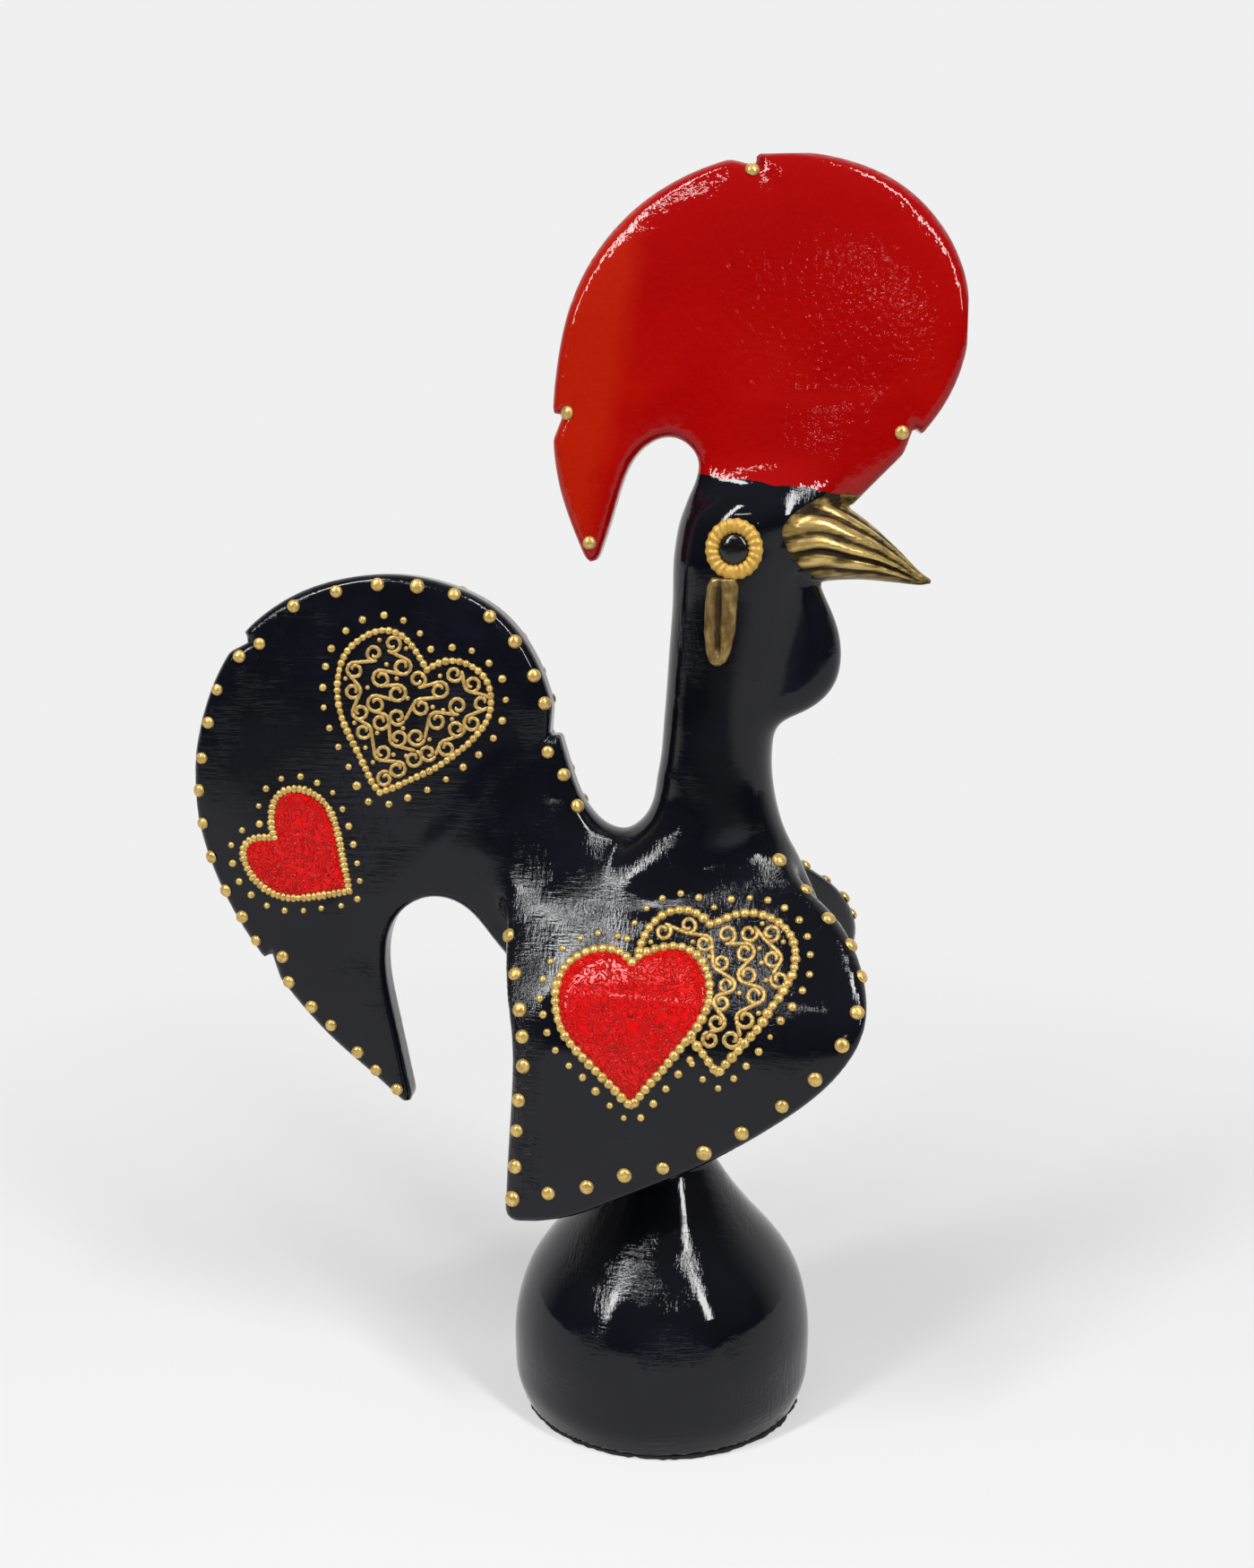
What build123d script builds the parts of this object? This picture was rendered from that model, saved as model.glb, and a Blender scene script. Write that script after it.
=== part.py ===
"""A painted pottery cockerel on a hollow bell foot, built from luted clay parts.

Millimetres, +Z up. The origin is where the axis of the foot meets the table.
The bird faces +X, and its right side is -Y.
"""

from build123d import *
from math import cos, radians, sin
import os

os.makedirs("parts", exist_ok=True)

# Foot and felt
foot_radius = 32.0
bell_radius = 34.2
bell_widest_height = 12.0
neck_radius = 12.8
bell_height = 58.0
bell_wall = 5.0
felt_thickness = 1.0
felt_inset = 0.6

# Trunk, neck and head, as one skin that the comb's foot carries on
crown_height = 211.0
crown_line_drop = 1.0
crown_tilt = 7.5
body_reach = 37.5
body_width = 43.0
shell_wall = 5.0
crown_wall = 9.0
comb_foot_height = 15.0

# Comb
comb_length = 86.6
comb_height = 83.0
comb_drop = 16.0
comb_thickness = 10.0
comb_edge_radius = 2.2
comb_tip_radius = 2.5
comb_foot_width = 23.5

# Tail
tail_length = 93.5
tail_height = 119.0
tail_front = 12.5
tail_rise = 13.4
tail_thickness = 10.0
tail_edge_radius = 2.2
tail_tip_radius = 2.5
root_length = 31.0
root_width = 24.0
root_rise = 40.0

# Wings
wing_length = 77.5
wing_height = 79.5
wing_rear = 32.2
wing_hang = 3.5
wing_span = 70.0
wing_thickness = 5.5
wing_flare = 7.0
wing_flare_pivot = 5.0
wing_edge_radius = 1.6
wing_corner_radius = 2.2

# Carved notches in the slabs' edges
notch_depth = 2.4
notch_mouth = 6.5

# Wattle
wattle_height = 35.0
wattle_reach = 16.6
wattle_drop = 54.0
wattle_thickness = 13.0
wattle_edge_radius = 4.0

# Beak
beak_length = 33.0
beak_drop = 3.6
beak_base_height = 19.0
beak_base_width = 23.6

# Eyes and ear lobes
eye_drop = 14.3
eye_radius = 3.1
eye_bulge = 1.6
eye_dome_share = 0.9
eye_gap = 0.05
eye_ring_radius = 6.1
eye_ring_relief = 1.3
lobe_drop = 20.0
lobe_length = 19.2
lobe_width = 7.2
lobe_turn = 88.0
lobe_relief = 1.1
trim_depth = 3.0

# Relief paint
dot_radius = 1.5
dot_height = 1.0
dot_taper = 38.0
dot_sides = 8
dot_inset = 3.0
dot_lift = 0.06
tail_dot_count = 30
wing_rear_dot_count = 7
wing_rim_dot_count = 17
heart_relief = 0.6
border_relief = 1.0
border_width = 1.7

# Hearts: width, and drop from the notch to the point
tail_red_width = 20.0
tail_red_drop = 19.5
tail_scroll_width = 32.5
tail_scroll_drop = 28.0
wing_red_width = 30.0
wing_red_drop = 28.5
wing_scroll_width = 31.5
wing_scroll_drop = 26.5

# Reach of every cutting tool past what it cuts
overrun = 30.0

# Places on the head follow the crown's height and the trunk's reach
comb_rear_share = 0.629
wattle_back_share = 0.587
beak_back_share = 0.640
eye_forward_share = 0.413
lobe_forward_share = 0.344
comb_rear = comb_rear_share * body_reach
wattle_back = wattle_back_share * body_reach
beak_back = beak_back_share * body_reach
eye_forward = eye_forward_share * body_reach
lobe_forward = lobe_forward_share * body_reach
crown_line_height = crown_height - crown_line_drop
comb_bottom = crown_height - comb_drop
wattle_bottom = crown_height - wattle_drop
beak_top = crown_height - beak_drop
eye_height = crown_height - eye_drop
lobe_top = crown_height - lobe_drop
# Tail and wings follow the top of the foot
tail_bottom = bell_height + tail_rise
wing_bottom = bell_height - wing_hang


# Outline points as shares of the length and height of the piece they belong to

# Bell: its outline from the widest place up, as shares of its radius and height
bell_shares = [
    (0.915, 0.565),
    (0.690, 0.765),
    (0.480, 0.920),
]
# Comb: rear edge from the tip up, over the crown and down to the beak
comb_outer_shares = [
    (0.092, -0.038),
    (0.046, 0.072),
    (0.018, 0.160),
    (0.000, 0.290),
    (0.020, 0.530),
    (0.075, 0.705),
    (0.190, 0.860),
    (0.350, 0.960),
    (0.535, 1.000),
    (0.720, 0.972),
    (0.885, 0.872),
    (0.985, 0.710),
    (1.000, 0.545),
    (0.940, 0.370),
    (0.828, 0.235),
    (0.735, 0.140),
]
# Comb: the arch behind the head, from the head round to the tip
comb_arch_shares = [
    (0.362, 0.150),
    (0.364, 0.250),
    (0.290, 0.308),
    (0.205, 0.268),
    (0.160, 0.180),
    (0.134, 0.090),
    (0.092, -0.038),
]
# Tail: outer edge from the tip round the top to the saddle
tail_outer_shares = [
    (0.526, -0.028),
    (0.430, 0.042),
    (0.325, 0.115),
    (0.200, 0.235),
    (0.088, 0.360),
    (0.015, 0.500),
    (0.000, 0.615),
    (0.040, 0.765),
    (0.125, 0.878),
    (0.265, 0.960),
    (0.405, 0.994),
    (0.500, 1.000),
    (0.640, 0.980),
    (0.765, 0.925),
    (0.848, 0.832),
    (0.890, 0.725),
    (0.925, 0.628),
    (0.964, 0.556),
    (0.998, 0.528),
    (1.045, 0.517),
    (1.100, 0.530),
]
# Tail: the arch under it, from the root round to the tip
tail_arch_shares = [
    (0.800, 0.255),
    (0.735, 0.318),
    (0.665, 0.380),
    (0.575, 0.395),
    (0.490, 0.350),
    (0.463, 0.270),
    (0.480, 0.160),
    (0.500, 0.080),
    (0.526, -0.028),
]
# Notches: how far along the outer edge, and which way the steep side faces
comb_notch_shares = [(0.160, 1), (0.501, 1), (0.907, -1)]
tail_notch_shares = [(0.191, 1), (0.506, 1), (0.868, 1)]
notch_lean_share = 0.25
# Dots: where rows of them start and end along an outline
comb_dot_shares = (0.025, 0.160, 0.501, 0.907)
tail_dot_ends_shares = (0.024, 0.924)
wing_rear_dot_ends_shares = (0.12, 0.86)
wing_rim_dot_ends_shares = (0.015, 0.975)
# Tail: its root, as the place of each oval and its length and width
root_shares = [
    ((0.960, 0.375), 1.00, 1.00),
    ((0.870, 0.440), 0.98, 0.86),
    ((0.780, 0.505), 1.00, 0.62),
    ((0.680, 0.575), 1.08, 0.34),
]
# Wing: rear edge from the shoulder down to the corner
wing_rear_shares = [
    (-0.030, 0.880),
    (0.000, 0.760),
    (0.022, 0.610),
    (0.028, 0.470),
    (0.014, 0.240),
    (0.000, 0.000),
]
# Wing: the rim from the rear corner along the bottom and up the front to the neck
wing_rim_shares = [
    (0.000, 0.000),
    (0.090, 0.005),
    (0.200, 0.030),
    (0.320, 0.080),
    (0.500, 0.165),
    (0.680, 0.270),
    (0.840, 0.385),
    (0.950, 0.500),
    (1.000, 0.610),
    (0.985, 0.725),
    (0.915, 0.830),
    (0.820, 0.910),
    (0.760, 0.990),
]
# Wing: its outer face in section, as shares of the half span and of the height
wing_section_shares = [
    (0.000, 0.986),
    (0.143, 0.968),
    (0.246, 0.931),
    (0.349, 0.880),
    (0.477, 0.811),
    (0.614, 0.742),
    (0.757, 0.673),
    (0.871, 0.610),
    (0.943, 0.522),
    (0.971, 0.396),
    (0.975, 0.245),
    (0.985, 0.094),
    (1.014, -0.030),
]
# Wattle: from under the beak round to the throat
wattle_shares = [
    (0.600, 1.000),
    (0.760, 0.840),
    (0.920, 0.665),
    (0.990, 0.470),
    (0.900, 0.285),
    (0.620, 0.150),
    (0.200, 0.060),
    (-0.100, 0.000),
]

# Skin of the trunk, neck and head, bottom to top: height, rear edge, front edge, width
skin_shares = [
    (0.055, -0.53, 0.49, 0.70),
    (0.120, -0.80, 0.74, 0.86),
    (0.196, -0.91, 0.92, 0.97),
    (0.275, -0.93, 1.00, 1.00),
    (0.347, -0.89, 0.99, 0.865),
    (0.412, -0.70, 0.90, 0.665),
    (0.464, -0.42, 0.79, 0.605),
    (0.516, -0.14, 0.70, 0.578),
    (0.588, -0.02, 0.638, 0.556),
    (0.667, 0.01, 0.655, 0.556),
    (0.745, 0.032, 0.720, 0.568),
    (0.824, 0.045, 0.800, 0.595),
    (0.902, 0.060, 0.880, 0.632),
    (0.954, 0.105, 0.960, 0.620),
]
# The comb's foot above the crown: height, rear edge, front edge, width
comb_foot_shares = [
    (0.000, 0.205, 1.085, 1.00),
    (0.330, 0.260, 1.180, 0.72),
    (0.660, 0.290, 1.240, 0.50),
    (1.000, 0.420, 1.220, 0.37),
]

# Beak: distance along it, drop of its top line, height and width of its section
beak_shares = [
    (0.00, 0.02, 1.00, 0.94),
    (0.14, 0.00, 1.00, 1.00),
    (0.32, 0.00, 0.94, 0.94),
    (0.54, 0.20, 0.72, 0.76),
    (0.78, 0.55, 0.41, 0.47),
    (0.97, 0.87, 0.12, 0.16),
]

# A heart's right half from the notch round to the point, as shares of width and drop
heart_half_shares = [
    (0.00, 0.00),
    (0.10, 0.13),
    (0.26, 0.20),
    (0.43, 0.11),
    (0.50, -0.10),
    (0.44, -0.36),
    (0.27, -0.66),
    (0.00, -1.00),
]
# How much further a border's corners reach out than its sides
heart_corner_share = 1.6
# Hearts: where the notch lies on the piece, and how far the point is turned
tail_red_notch_share = (0.194, 0.508)
tail_scroll_notch_share = (0.582, 0.828)
wing_red_notch_share = (0.354, 0.703)
wing_scroll_notch_share = (0.573, 0.786)
tail_red_turn = 52.0
tail_scroll_turn = -22.0
wing_red_turn = 0.0
wing_scroll_turn = 2.0


def placed(shares, left, bottom, length, height):
    """Turn outline shares into points of the XZ plane."""
    return [(left + u * length, bottom + v * height) for u, v in shares]


def comb_points(shares):
    return placed(shares, -comb_rear, comb_bottom, comb_length, comb_height)


def tail_points(shares):
    return placed(shares, -tail_front - tail_length, tail_bottom, tail_length, tail_height)


def wing_points(shares):
    return placed(shares, -wing_rear, wing_bottom, wing_length, wing_height)


def slab_outline(outer_points, arch_points, tip_radius):
    """A slab's outline: the outer edge up from its tip, and the arch back down to it."""
    with BuildSketch(Plane.XZ) as outline:
        with BuildLine():
            outer = Spline(outer_points)
            arch = Spline(arch_points)
            Line(outer @ 1, arch @ 0)
        make_face()
        fillet(outline.vertices().sort_by(Axis.Y)[0], tip_radius)
    return outline.sketch


def rim_edges(slab):
    """The edges round both flat faces of a slab, without the straight one at its seat."""
    return slab.faces().filter_by(Axis.Y).edges().filter_by(GeomType.LINE, reverse=True)


def finish(piece, label):
    """Name a piece and write it to its own file."""
    piece.part.label = label
    export_step(piece.part, "parts/" + label + ".step")


# Felt pad glued under the foot
with BuildPart() as felt_pad:
    with BuildSketch():
        Circle(foot_radius - felt_inset)
    extrude(amount=felt_thickness)


# Bell foot, thrown hollow and open at both ends
def bell_profile(inset):
    """Half section of the bell, moved inwards by inset, as a face on the XZ plane."""
    with BuildSketch(Plane.XZ) as profile:
        with BuildLine():
            foot = (foot_radius - inset, felt_thickness)
            top = (neck_radius - inset, bell_height)
            widest = (bell_radius - inset, bell_widest_height)
            sides = [(u * bell_radius - inset, v * bell_height) for u, v in bell_shares]
            Spline([foot, widest] + sides + [top])
            Line(top, (0, bell_height))
            Line((0, bell_height), (0, felt_thickness))
            Line((0, felt_thickness), foot)
        make_face()
    return profile.sketch


with BuildPart() as base_bell:
    revolve(bell_profile(0), axis=Axis.Z)
    revolve(bell_profile(bell_wall), axis=Axis.Z, mode=Mode.SUBTRACT)


# The skin: ovals stacked from the top of the bell to the comb's foot
skin_height = crown_height - bell_height


def oval(height, rear, front, width):
    """One level section of the skin."""
    with BuildSketch(Plane.XY.offset(height)) as section:
        with Locations(((rear + front) / 2, 0)):
            Ellipse((front - rear) / 2, width / 2)
    return section.sketch


def skin_sections(inset):
    """The sections of the trunk, neck and head, moved inwards by inset."""
    neck_reach = neck_radius - inset
    sections = [oval(bell_height, -neck_reach, neck_reach, 2 * neck_reach)]
    for level, rear, front, width in skin_shares:
        section = oval(
            bell_height + level * skin_height,
            rear * body_reach + inset,
            front * body_reach - inset,
            width * body_width - 2 * inset,
        )
        sections.append(section)
    return sections


def comb_foot_sections():
    """The sections of the comb's foot, which carry the skin on above the crown."""
    return [
        oval(
            crown_height + level * comb_foot_height,
            rear * body_reach,
            front * body_reach,
            width * comb_foot_width,
        )
        for level, rear, front, width in comb_foot_shares
    ]


with BuildPart() as skin:
    loft(skin_sections(0) + comb_foot_sections())

# The painted line between head and comb is a plane that falls towards the beak
crown_middle = (comb_foot_shares[0][1] + comb_foot_shares[0][2]) / 2 * body_reach
crown_plane = Plane(
    origin=(crown_middle, 0, crown_line_height),
    z_dir=(sin(radians(crown_tilt)), 0, cos(radians(crown_tilt))),
)

with BuildPart() as body_solid:
    add(skin.part)
    split(bisect_by=crown_plane, keep=Keep.BOTTOM)

with BuildPart() as cavity:
    loft(skin_sections(shell_wall))
    split(bisect_by=crown_plane.offset(-crown_wall), keep=Keep.BOTTOM)


with BuildPart() as comb_foot:
    add(skin.part)
    split(bisect_by=crown_plane, keep=Keep.TOP)


def edge_spot(points, share, side):
    """A place along an outline, the way along it, and the way to one side of it."""
    with BuildLine(Plane.XZ) as line:
        Spline(points)
    edge = line.edge()
    distance = share * edge.length
    along = edge.tangent_at(distance, PositionMode.LENGTH)
    inwards = Vector(along.Z, 0, -along.X) * side
    return edge.position_at(distance, PositionMode.LENGTH), along, inwards


def notch_wedge(points, share, turn):
    """The wedge that a knife takes out of a slab's edge: one steep side and one shallow."""
    spot, along, inwards = edge_spot(points, share, 1)
    root = spot + inwards * notch_depth
    shallow = root + (spot - along * (turn * notch_mouth) - root) * 2
    steep = spot - inwards * notch_depth + along * (turn * notch_depth * notch_lean_share)
    with BuildSketch(Plane.XZ) as wedge:
        with BuildLine():
            Polyline([(corner.X, corner.Z) for corner in (root, shallow, steep)], close=True)
        make_face()
    return wedge.sketch


# Tail slab, thickened by an oval root where it joins the trunk
tail_outer = tail_points(tail_outer_shares)
tail_arch = tail_points(tail_arch_shares)


def root_section(place_share, length_share, width_share):
    """One oval of the tail's root, square to the line along which the root runs."""
    centre = tail_points([place_share])[0]
    plane = Plane(
        origin=(centre[0], 0, centre[1]),
        x_dir=(sin(radians(root_rise)), 0, cos(radians(root_rise))),
        z_dir=(-cos(radians(root_rise)), 0, sin(radians(root_rise))),
    )
    with BuildSketch(plane) as section:
        Ellipse(length_share * root_length / 2, width_share * root_width / 2)
    return section.sketch


tail_outline = slab_outline(tail_outer, tail_arch, tail_tip_radius)
with BuildPart() as tail:
    extrude(tail_outline, amount=tail_thickness / 2, both=True)
    fillet(rim_edges(tail), tail_edge_radius)
    for share, turn in tail_notch_shares:
        wedge = notch_wedge(tail_outer, share, turn)
        extrude(wedge, amount=tail_thickness, both=True, mode=Mode.SUBTRACT)
    loft([root_section(*row) for row in root_shares])
    add(body_solid.part, mode=Mode.SUBTRACT)

# Comb slab on its flared foot
comb_outer = comb_points(comb_outer_shares)
comb_arch = comb_points(comb_arch_shares)
comb_outline = slab_outline(comb_outer, comb_arch, comb_tip_radius)
with BuildPart() as comb:
    extrude(comb_outline, amount=comb_thickness / 2, both=True)
    fillet(rim_edges(comb), comb_edge_radius)
    for share, turn in comb_notch_shares:
        wedge = notch_wedge(comb_outer, share, turn)
        extrude(wedge, amount=comb_thickness, both=True, mode=Mode.SUBTRACT)
    add(comb_foot.part)
    add(body_solid.part, mode=Mode.SUBTRACT)


# Wings: the space under a flared cape, cut to the wing's outline
cape_section = placed(wing_section_shares, 0, wing_bottom, wing_span / 2, wing_height)
cape_plane = Plane(
    origin=(wing_flare_pivot, 0, 0),
    x_dir=(-sin(radians(wing_flare)), -cos(radians(wing_flare)), 0),
    z_dir=(-cos(radians(wing_flare)), sin(radians(wing_flare)), 0),
)
cape_reach = wing_length + overrun


def moved_inwards(points, distance):
    """Outline points moved square to the line through their neighbours."""
    moved = []
    for index, point in enumerate(points):
        before = points[max(index - 1, 0)]
        after = points[min(index + 1, len(points) - 1)]
        run, rise = after[0] - before[0], after[1] - before[1]
        reach = distance / (run * run + rise * rise) ** 0.5
        moved.append((point[0] + rise * reach, point[1] - run * reach))
    return moved


def cape(inset):
    """All that lies under the cape's outer face on one side, moved inwards by inset."""
    with BuildSketch(cape_plane.offset(-cape_reach)) as section:
        with BuildLine():
            face = Spline(moved_inwards(cape_section, inset))
            ridge = Line(face @ 0, face @ 0 - (overrun, 0))
            back = Line(ridge @ 1, ridge @ 1 - (0, wing_height + 2 * overrun))
            under = Line(back @ 1, ((face @ 1).X, (back @ 1).Y))
            Line(under @ 1, face @ 1)
        make_face()
    return extrude(section.sketch, amount=2 * cape_reach)


wing_rear_line = wing_points(wing_rear_shares)
wing_rim_line = wing_points(wing_rim_shares)
with BuildSketch(Plane.XZ) as wing_outline:
    with BuildLine():
        rear = Spline(wing_rear_line)
        rim = Spline(wing_rim_line)
        front = Line(rim @ 1, rim @ 1 + (0, overrun))
        top = Line(front @ 1, ((rear @ 0).X, (front @ 1).Y))
        Line(top @ 1, rear @ 0)
    make_face()
    fillet(wing_outline.vertices().sort_by(Axis.Y)[0], wing_corner_radius)

cape_outside = cape(0)
cape_inside = cape(wing_thickness)
with BuildPart() as wing_slab:
    extrude(wing_outline.sketch, amount=wing_span)
    add(cape_outside, mode=Mode.INTERSECT)
    add(cape_inside, mode=Mode.SUBTRACT)
    faces = wing_slab.faces().sort_by(SortBy.AREA)[-2:]
    rims = faces.edges().filter_by(lambda edge: edge.center().Y < -wing_thickness)
    fillet(rims, wing_edge_radius)

with BuildPart() as wing_right:
    add(wing_slab.part)
    add(body_solid.part, mode=Mode.SUBTRACT)
    add(tail.part, mode=Mode.SUBTRACT)


# Beak: ovals along a falling line, seated on the head and the comb's foot
def beak_section(distance, drop, height, width):
    """One upright section of the beak."""
    tall = height * beak_base_height
    middle = beak_top - drop * beak_base_height - tall / 2
    with BuildSketch(Plane.YZ.offset(beak_back + distance * beak_length)) as section:
        with Locations((0, middle)):
            Ellipse(width * beak_base_width / 2, tall / 2)
    return section.sketch


with BuildPart() as beak:
    loft([beak_section(*row) for row in beak_shares])
    add(body_solid.part, mode=Mode.SUBTRACT)
    add(comb.part, mode=Mode.SUBTRACT)

# Wattle under the beak
wattle_line = placed(wattle_shares, wattle_back, wattle_bottom, wattle_reach, wattle_height)
with BuildPart() as wattle:
    with BuildSketch(Plane.XZ) as wattle_outline:
        with BuildLine():
            lobe = Spline(wattle_line)
            inner = Line(lobe @ 1, lobe @ 1 - (wattle_edge_radius, 0))
            back = Line(inner @ 1, ((inner @ 1).X, (lobe @ 0).Y))
            Line(back @ 1, lobe @ 0)
        make_face()
    extrude(wattle_outline.sketch, amount=wattle_thickness / 2, both=True)
    fillet(rim_edges(wattle), wattle_edge_radius)
    add(body_solid.part, mode=Mode.SUBTRACT)
    add(beak.part, mode=Mode.SUBTRACT)


def surface(piece, forward, height):
    """Where a line from the right first meets a piece, and the surface's normal there."""
    line = Axis((forward, -body_width - overrun, height), (0, 1, 0))
    hits = []
    for face in piece.faces():
        hits += face.find_intersection_points(line)
    spot, normal = min(hits, key=lambda hit: hit[0].Y)
    if normal.Y > 0:
        normal = -normal
    return spot, normal


def seat_plane(piece, forward, height, lift):
    """A plane square to a piece's right side at a place, lifted off it."""
    spot, normal = surface(piece, forward, height)
    return Plane(origin=spot + normal * lift, x_dir=(1, 0, 0), z_dir=normal)


# Eyes, their rings and the ear lobes stand on the sides of the head
eye_seat = seat_plane(body_solid, eye_forward, eye_height, eye_ring_relief)
with BuildPart() as eye_ring_right:
    with BuildSketch(eye_seat):
        Circle(eye_ring_radius)
        Circle(eye_radius + eye_gap, mode=Mode.SUBTRACT)
    extrude(amount=-trim_depth)
    fillet(eye_ring_right.faces().sort_by(Axis.Y)[0].edges(), eye_ring_relief / 2)
    add(body_solid.part, mode=Mode.SUBTRACT)

with BuildPart() as eye_right:
    with BuildSketch(eye_seat.offset(eye_bulge - eye_ring_relief)):
        Circle(eye_radius)
    extrude(amount=-trim_depth)
    fillet(eye_right.faces().sort_by(Axis.Y)[0].edges(), eye_bulge * eye_dome_share)
    add(body_solid.part, mode=Mode.SUBTRACT)

lobe_seat = seat_plane(body_solid, lobe_forward, lobe_top - lobe_length / 2, lobe_relief)
with BuildPart() as ear_lobe_right:
    with BuildSketch(lobe_seat):
        SlotOverall(lobe_length, lobe_width, rotation=lobe_turn)
    extrude(amount=-trim_depth)
    fillet(ear_lobe_right.faces().sort_by(Axis.Y)[0].edges(), lobe_relief / 2)
    add(body_solid.part, mode=Mode.SUBTRACT)
    add(eye_ring_right.part, mode=Mode.SUBTRACT)


# Relief dots along the edges
def dot_base(spot, normal):
    """The foot of one dot of relief paint."""
    with BuildSketch(Plane(origin=spot + normal * dot_lift, z_dir=normal)) as disc:
        RegularPolygon(dot_radius, dot_sides)
    return disc.sketch


def row_shares(ends, count):
    """Evenly spaced shares from one end of a row to the other."""
    return [ends[0] + (ends[1] - ends[0]) * step / (count - 1) for step in range(count)]


def slab_dots(points, shares, thickness):
    """Dots set in from a flat slab's edge, on its right face."""
    faces = []
    for share in shares:
        spot, along, inwards = edge_spot(points, share, 1)
        place = spot + inwards * dot_inset - Vector(0, thickness / 2, 0)
        faces.append(dot_base(place, Vector(0, -1, 0)))
    return faces


def wing_dots(points, shares):
    """Dots set in from the wing's edge, square to its flared face."""
    faces = []
    for share in shares:
        spot, along, inwards = edge_spot(points, share, -1)
        place = spot + inwards * dot_inset
        faces.append(dot_base(*surface(wing_slab, place.X, place.Z)))
    return faces


def raised(faces):
    """Extrude the dots in the part at work."""
    for face in faces:
        extrude(face, amount=dot_height, taper=dot_taper)


tail_row = row_shares(tail_dot_ends_shares, tail_dot_count)
wing_rear_row = row_shares(wing_rear_dot_ends_shares, wing_rear_dot_count)
wing_rim_row = row_shares(wing_rim_dot_ends_shares, wing_rim_dot_count)

with BuildPart() as comb_dots_right:
    raised(slab_dots(comb_outer, comb_dot_shares, comb_thickness))
with BuildPart() as tail_dots_right:
    raised(slab_dots(tail_outer, tail_row, tail_thickness))
    add(wing_right.part, mode=Mode.SUBTRACT)
with BuildPart() as wing_dots_right:
    raised(wing_dots(wing_rear_line, wing_rear_row))
    raised(wing_dots(wing_rim_line, wing_rim_row))


# Relief hearts
def heart(notch, turn, width, drop, growth=0):
    """A heart's outline on the side plane, hung from its notch and turned about it."""
    half = moved_inwards([(u * width, v * drop) for u, v in heart_half_shares], -growth)
    corner_growth = growth * heart_corner_share
    half[0] = (0, corner_growth)
    half[-1] = (0, -drop - corner_growth)
    across = (cos(radians(turn)), sin(radians(turn)))
    with BuildSketch(Plane.XZ) as outline:
        with BuildLine():
            for side in (1, -1):
                turned = [
                    (
                        notch[0] + side * u * across[0] - v * across[1],
                        notch[1] + side * u * across[1] + v * across[0],
                    )
                    for u, v in half
                ]
                Spline(turned)
        make_face()
    return outline.sketch


tail_red_notch = tail_points([tail_red_notch_share])[0]
tail_scroll_notch = tail_points([tail_scroll_notch_share])[0]
wing_red_notch = wing_points([wing_red_notch_share])[0]
wing_scroll_notch = wing_points([wing_scroll_notch_share])[0]
tail_red = (tail_red_notch, tail_red_turn, tail_red_width, tail_red_drop)
tail_scroll = (tail_scroll_notch, tail_scroll_turn, tail_scroll_width, tail_scroll_drop)
wing_red = (wing_red_notch, wing_red_turn, wing_red_width, wing_red_drop)
wing_scroll = (wing_scroll_notch, wing_scroll_turn, wing_scroll_width, wing_scroll_drop)


def on_tail(outline, relief, mode=Mode.ADD):
    """Extrude an outline from the tail's right face."""
    face_place = Location((0, -tail_thickness / 2, 0))
    extrude(outline.moved(face_place), amount=relief, mode=mode)


def on_wing(outline, mode=Mode.ADD):
    """Extrude an outline through the wing's face."""
    extrude(outline, amount=wing_span, mode=mode)


with BuildPart() as tail_red_heart_right:
    on_tail(heart(*tail_red), heart_relief)
with BuildPart() as tail_red_heart_border_right:
    on_tail(heart(*tail_red, border_width), border_relief)
    on_tail(heart(*tail_red), border_relief, Mode.SUBTRACT)
with BuildPart() as tail_scroll_heart_right:
    on_tail(heart(*tail_scroll, border_width), border_relief)
    on_tail(heart(*tail_scroll), border_relief, Mode.SUBTRACT)

# The hearts on the wing fill a thin skin over the cape's outer face
heart_skin = cape(-heart_relief)
border_skin = cape(-border_relief)
with BuildPart() as wing_red_heart_right:
    on_wing(heart(*wing_red))
    add(heart_skin, mode=Mode.INTERSECT)
    add(cape_outside, mode=Mode.SUBTRACT)
with BuildPart() as wing_red_heart_border_right:
    on_wing(heart(*wing_red, border_width))
    on_wing(heart(*wing_red), Mode.SUBTRACT)
    add(border_skin, mode=Mode.INTERSECT)
    add(cape_outside, mode=Mode.SUBTRACT)
with BuildPart() as wing_scroll_heart_right:
    on_wing(heart(*wing_scroll, border_width))
    on_wing(heart(*wing_scroll), Mode.SUBTRACT)
    on_wing(heart(*wing_red, border_width), Mode.SUBTRACT)
    add(border_skin, mode=Mode.INTERSECT)
    add(cape_outside, mode=Mode.SUBTRACT)
    add(body_solid.part, mode=Mode.SUBTRACT)

# The body shell is pressed in two halves with the seam on the mid plane
with BuildPart() as body_right:
    add(body_solid.part)
    add(cavity.part, mode=Mode.SUBTRACT)
    split(bisect_by=Plane.XZ, keep=Keep.TOP)

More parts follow.
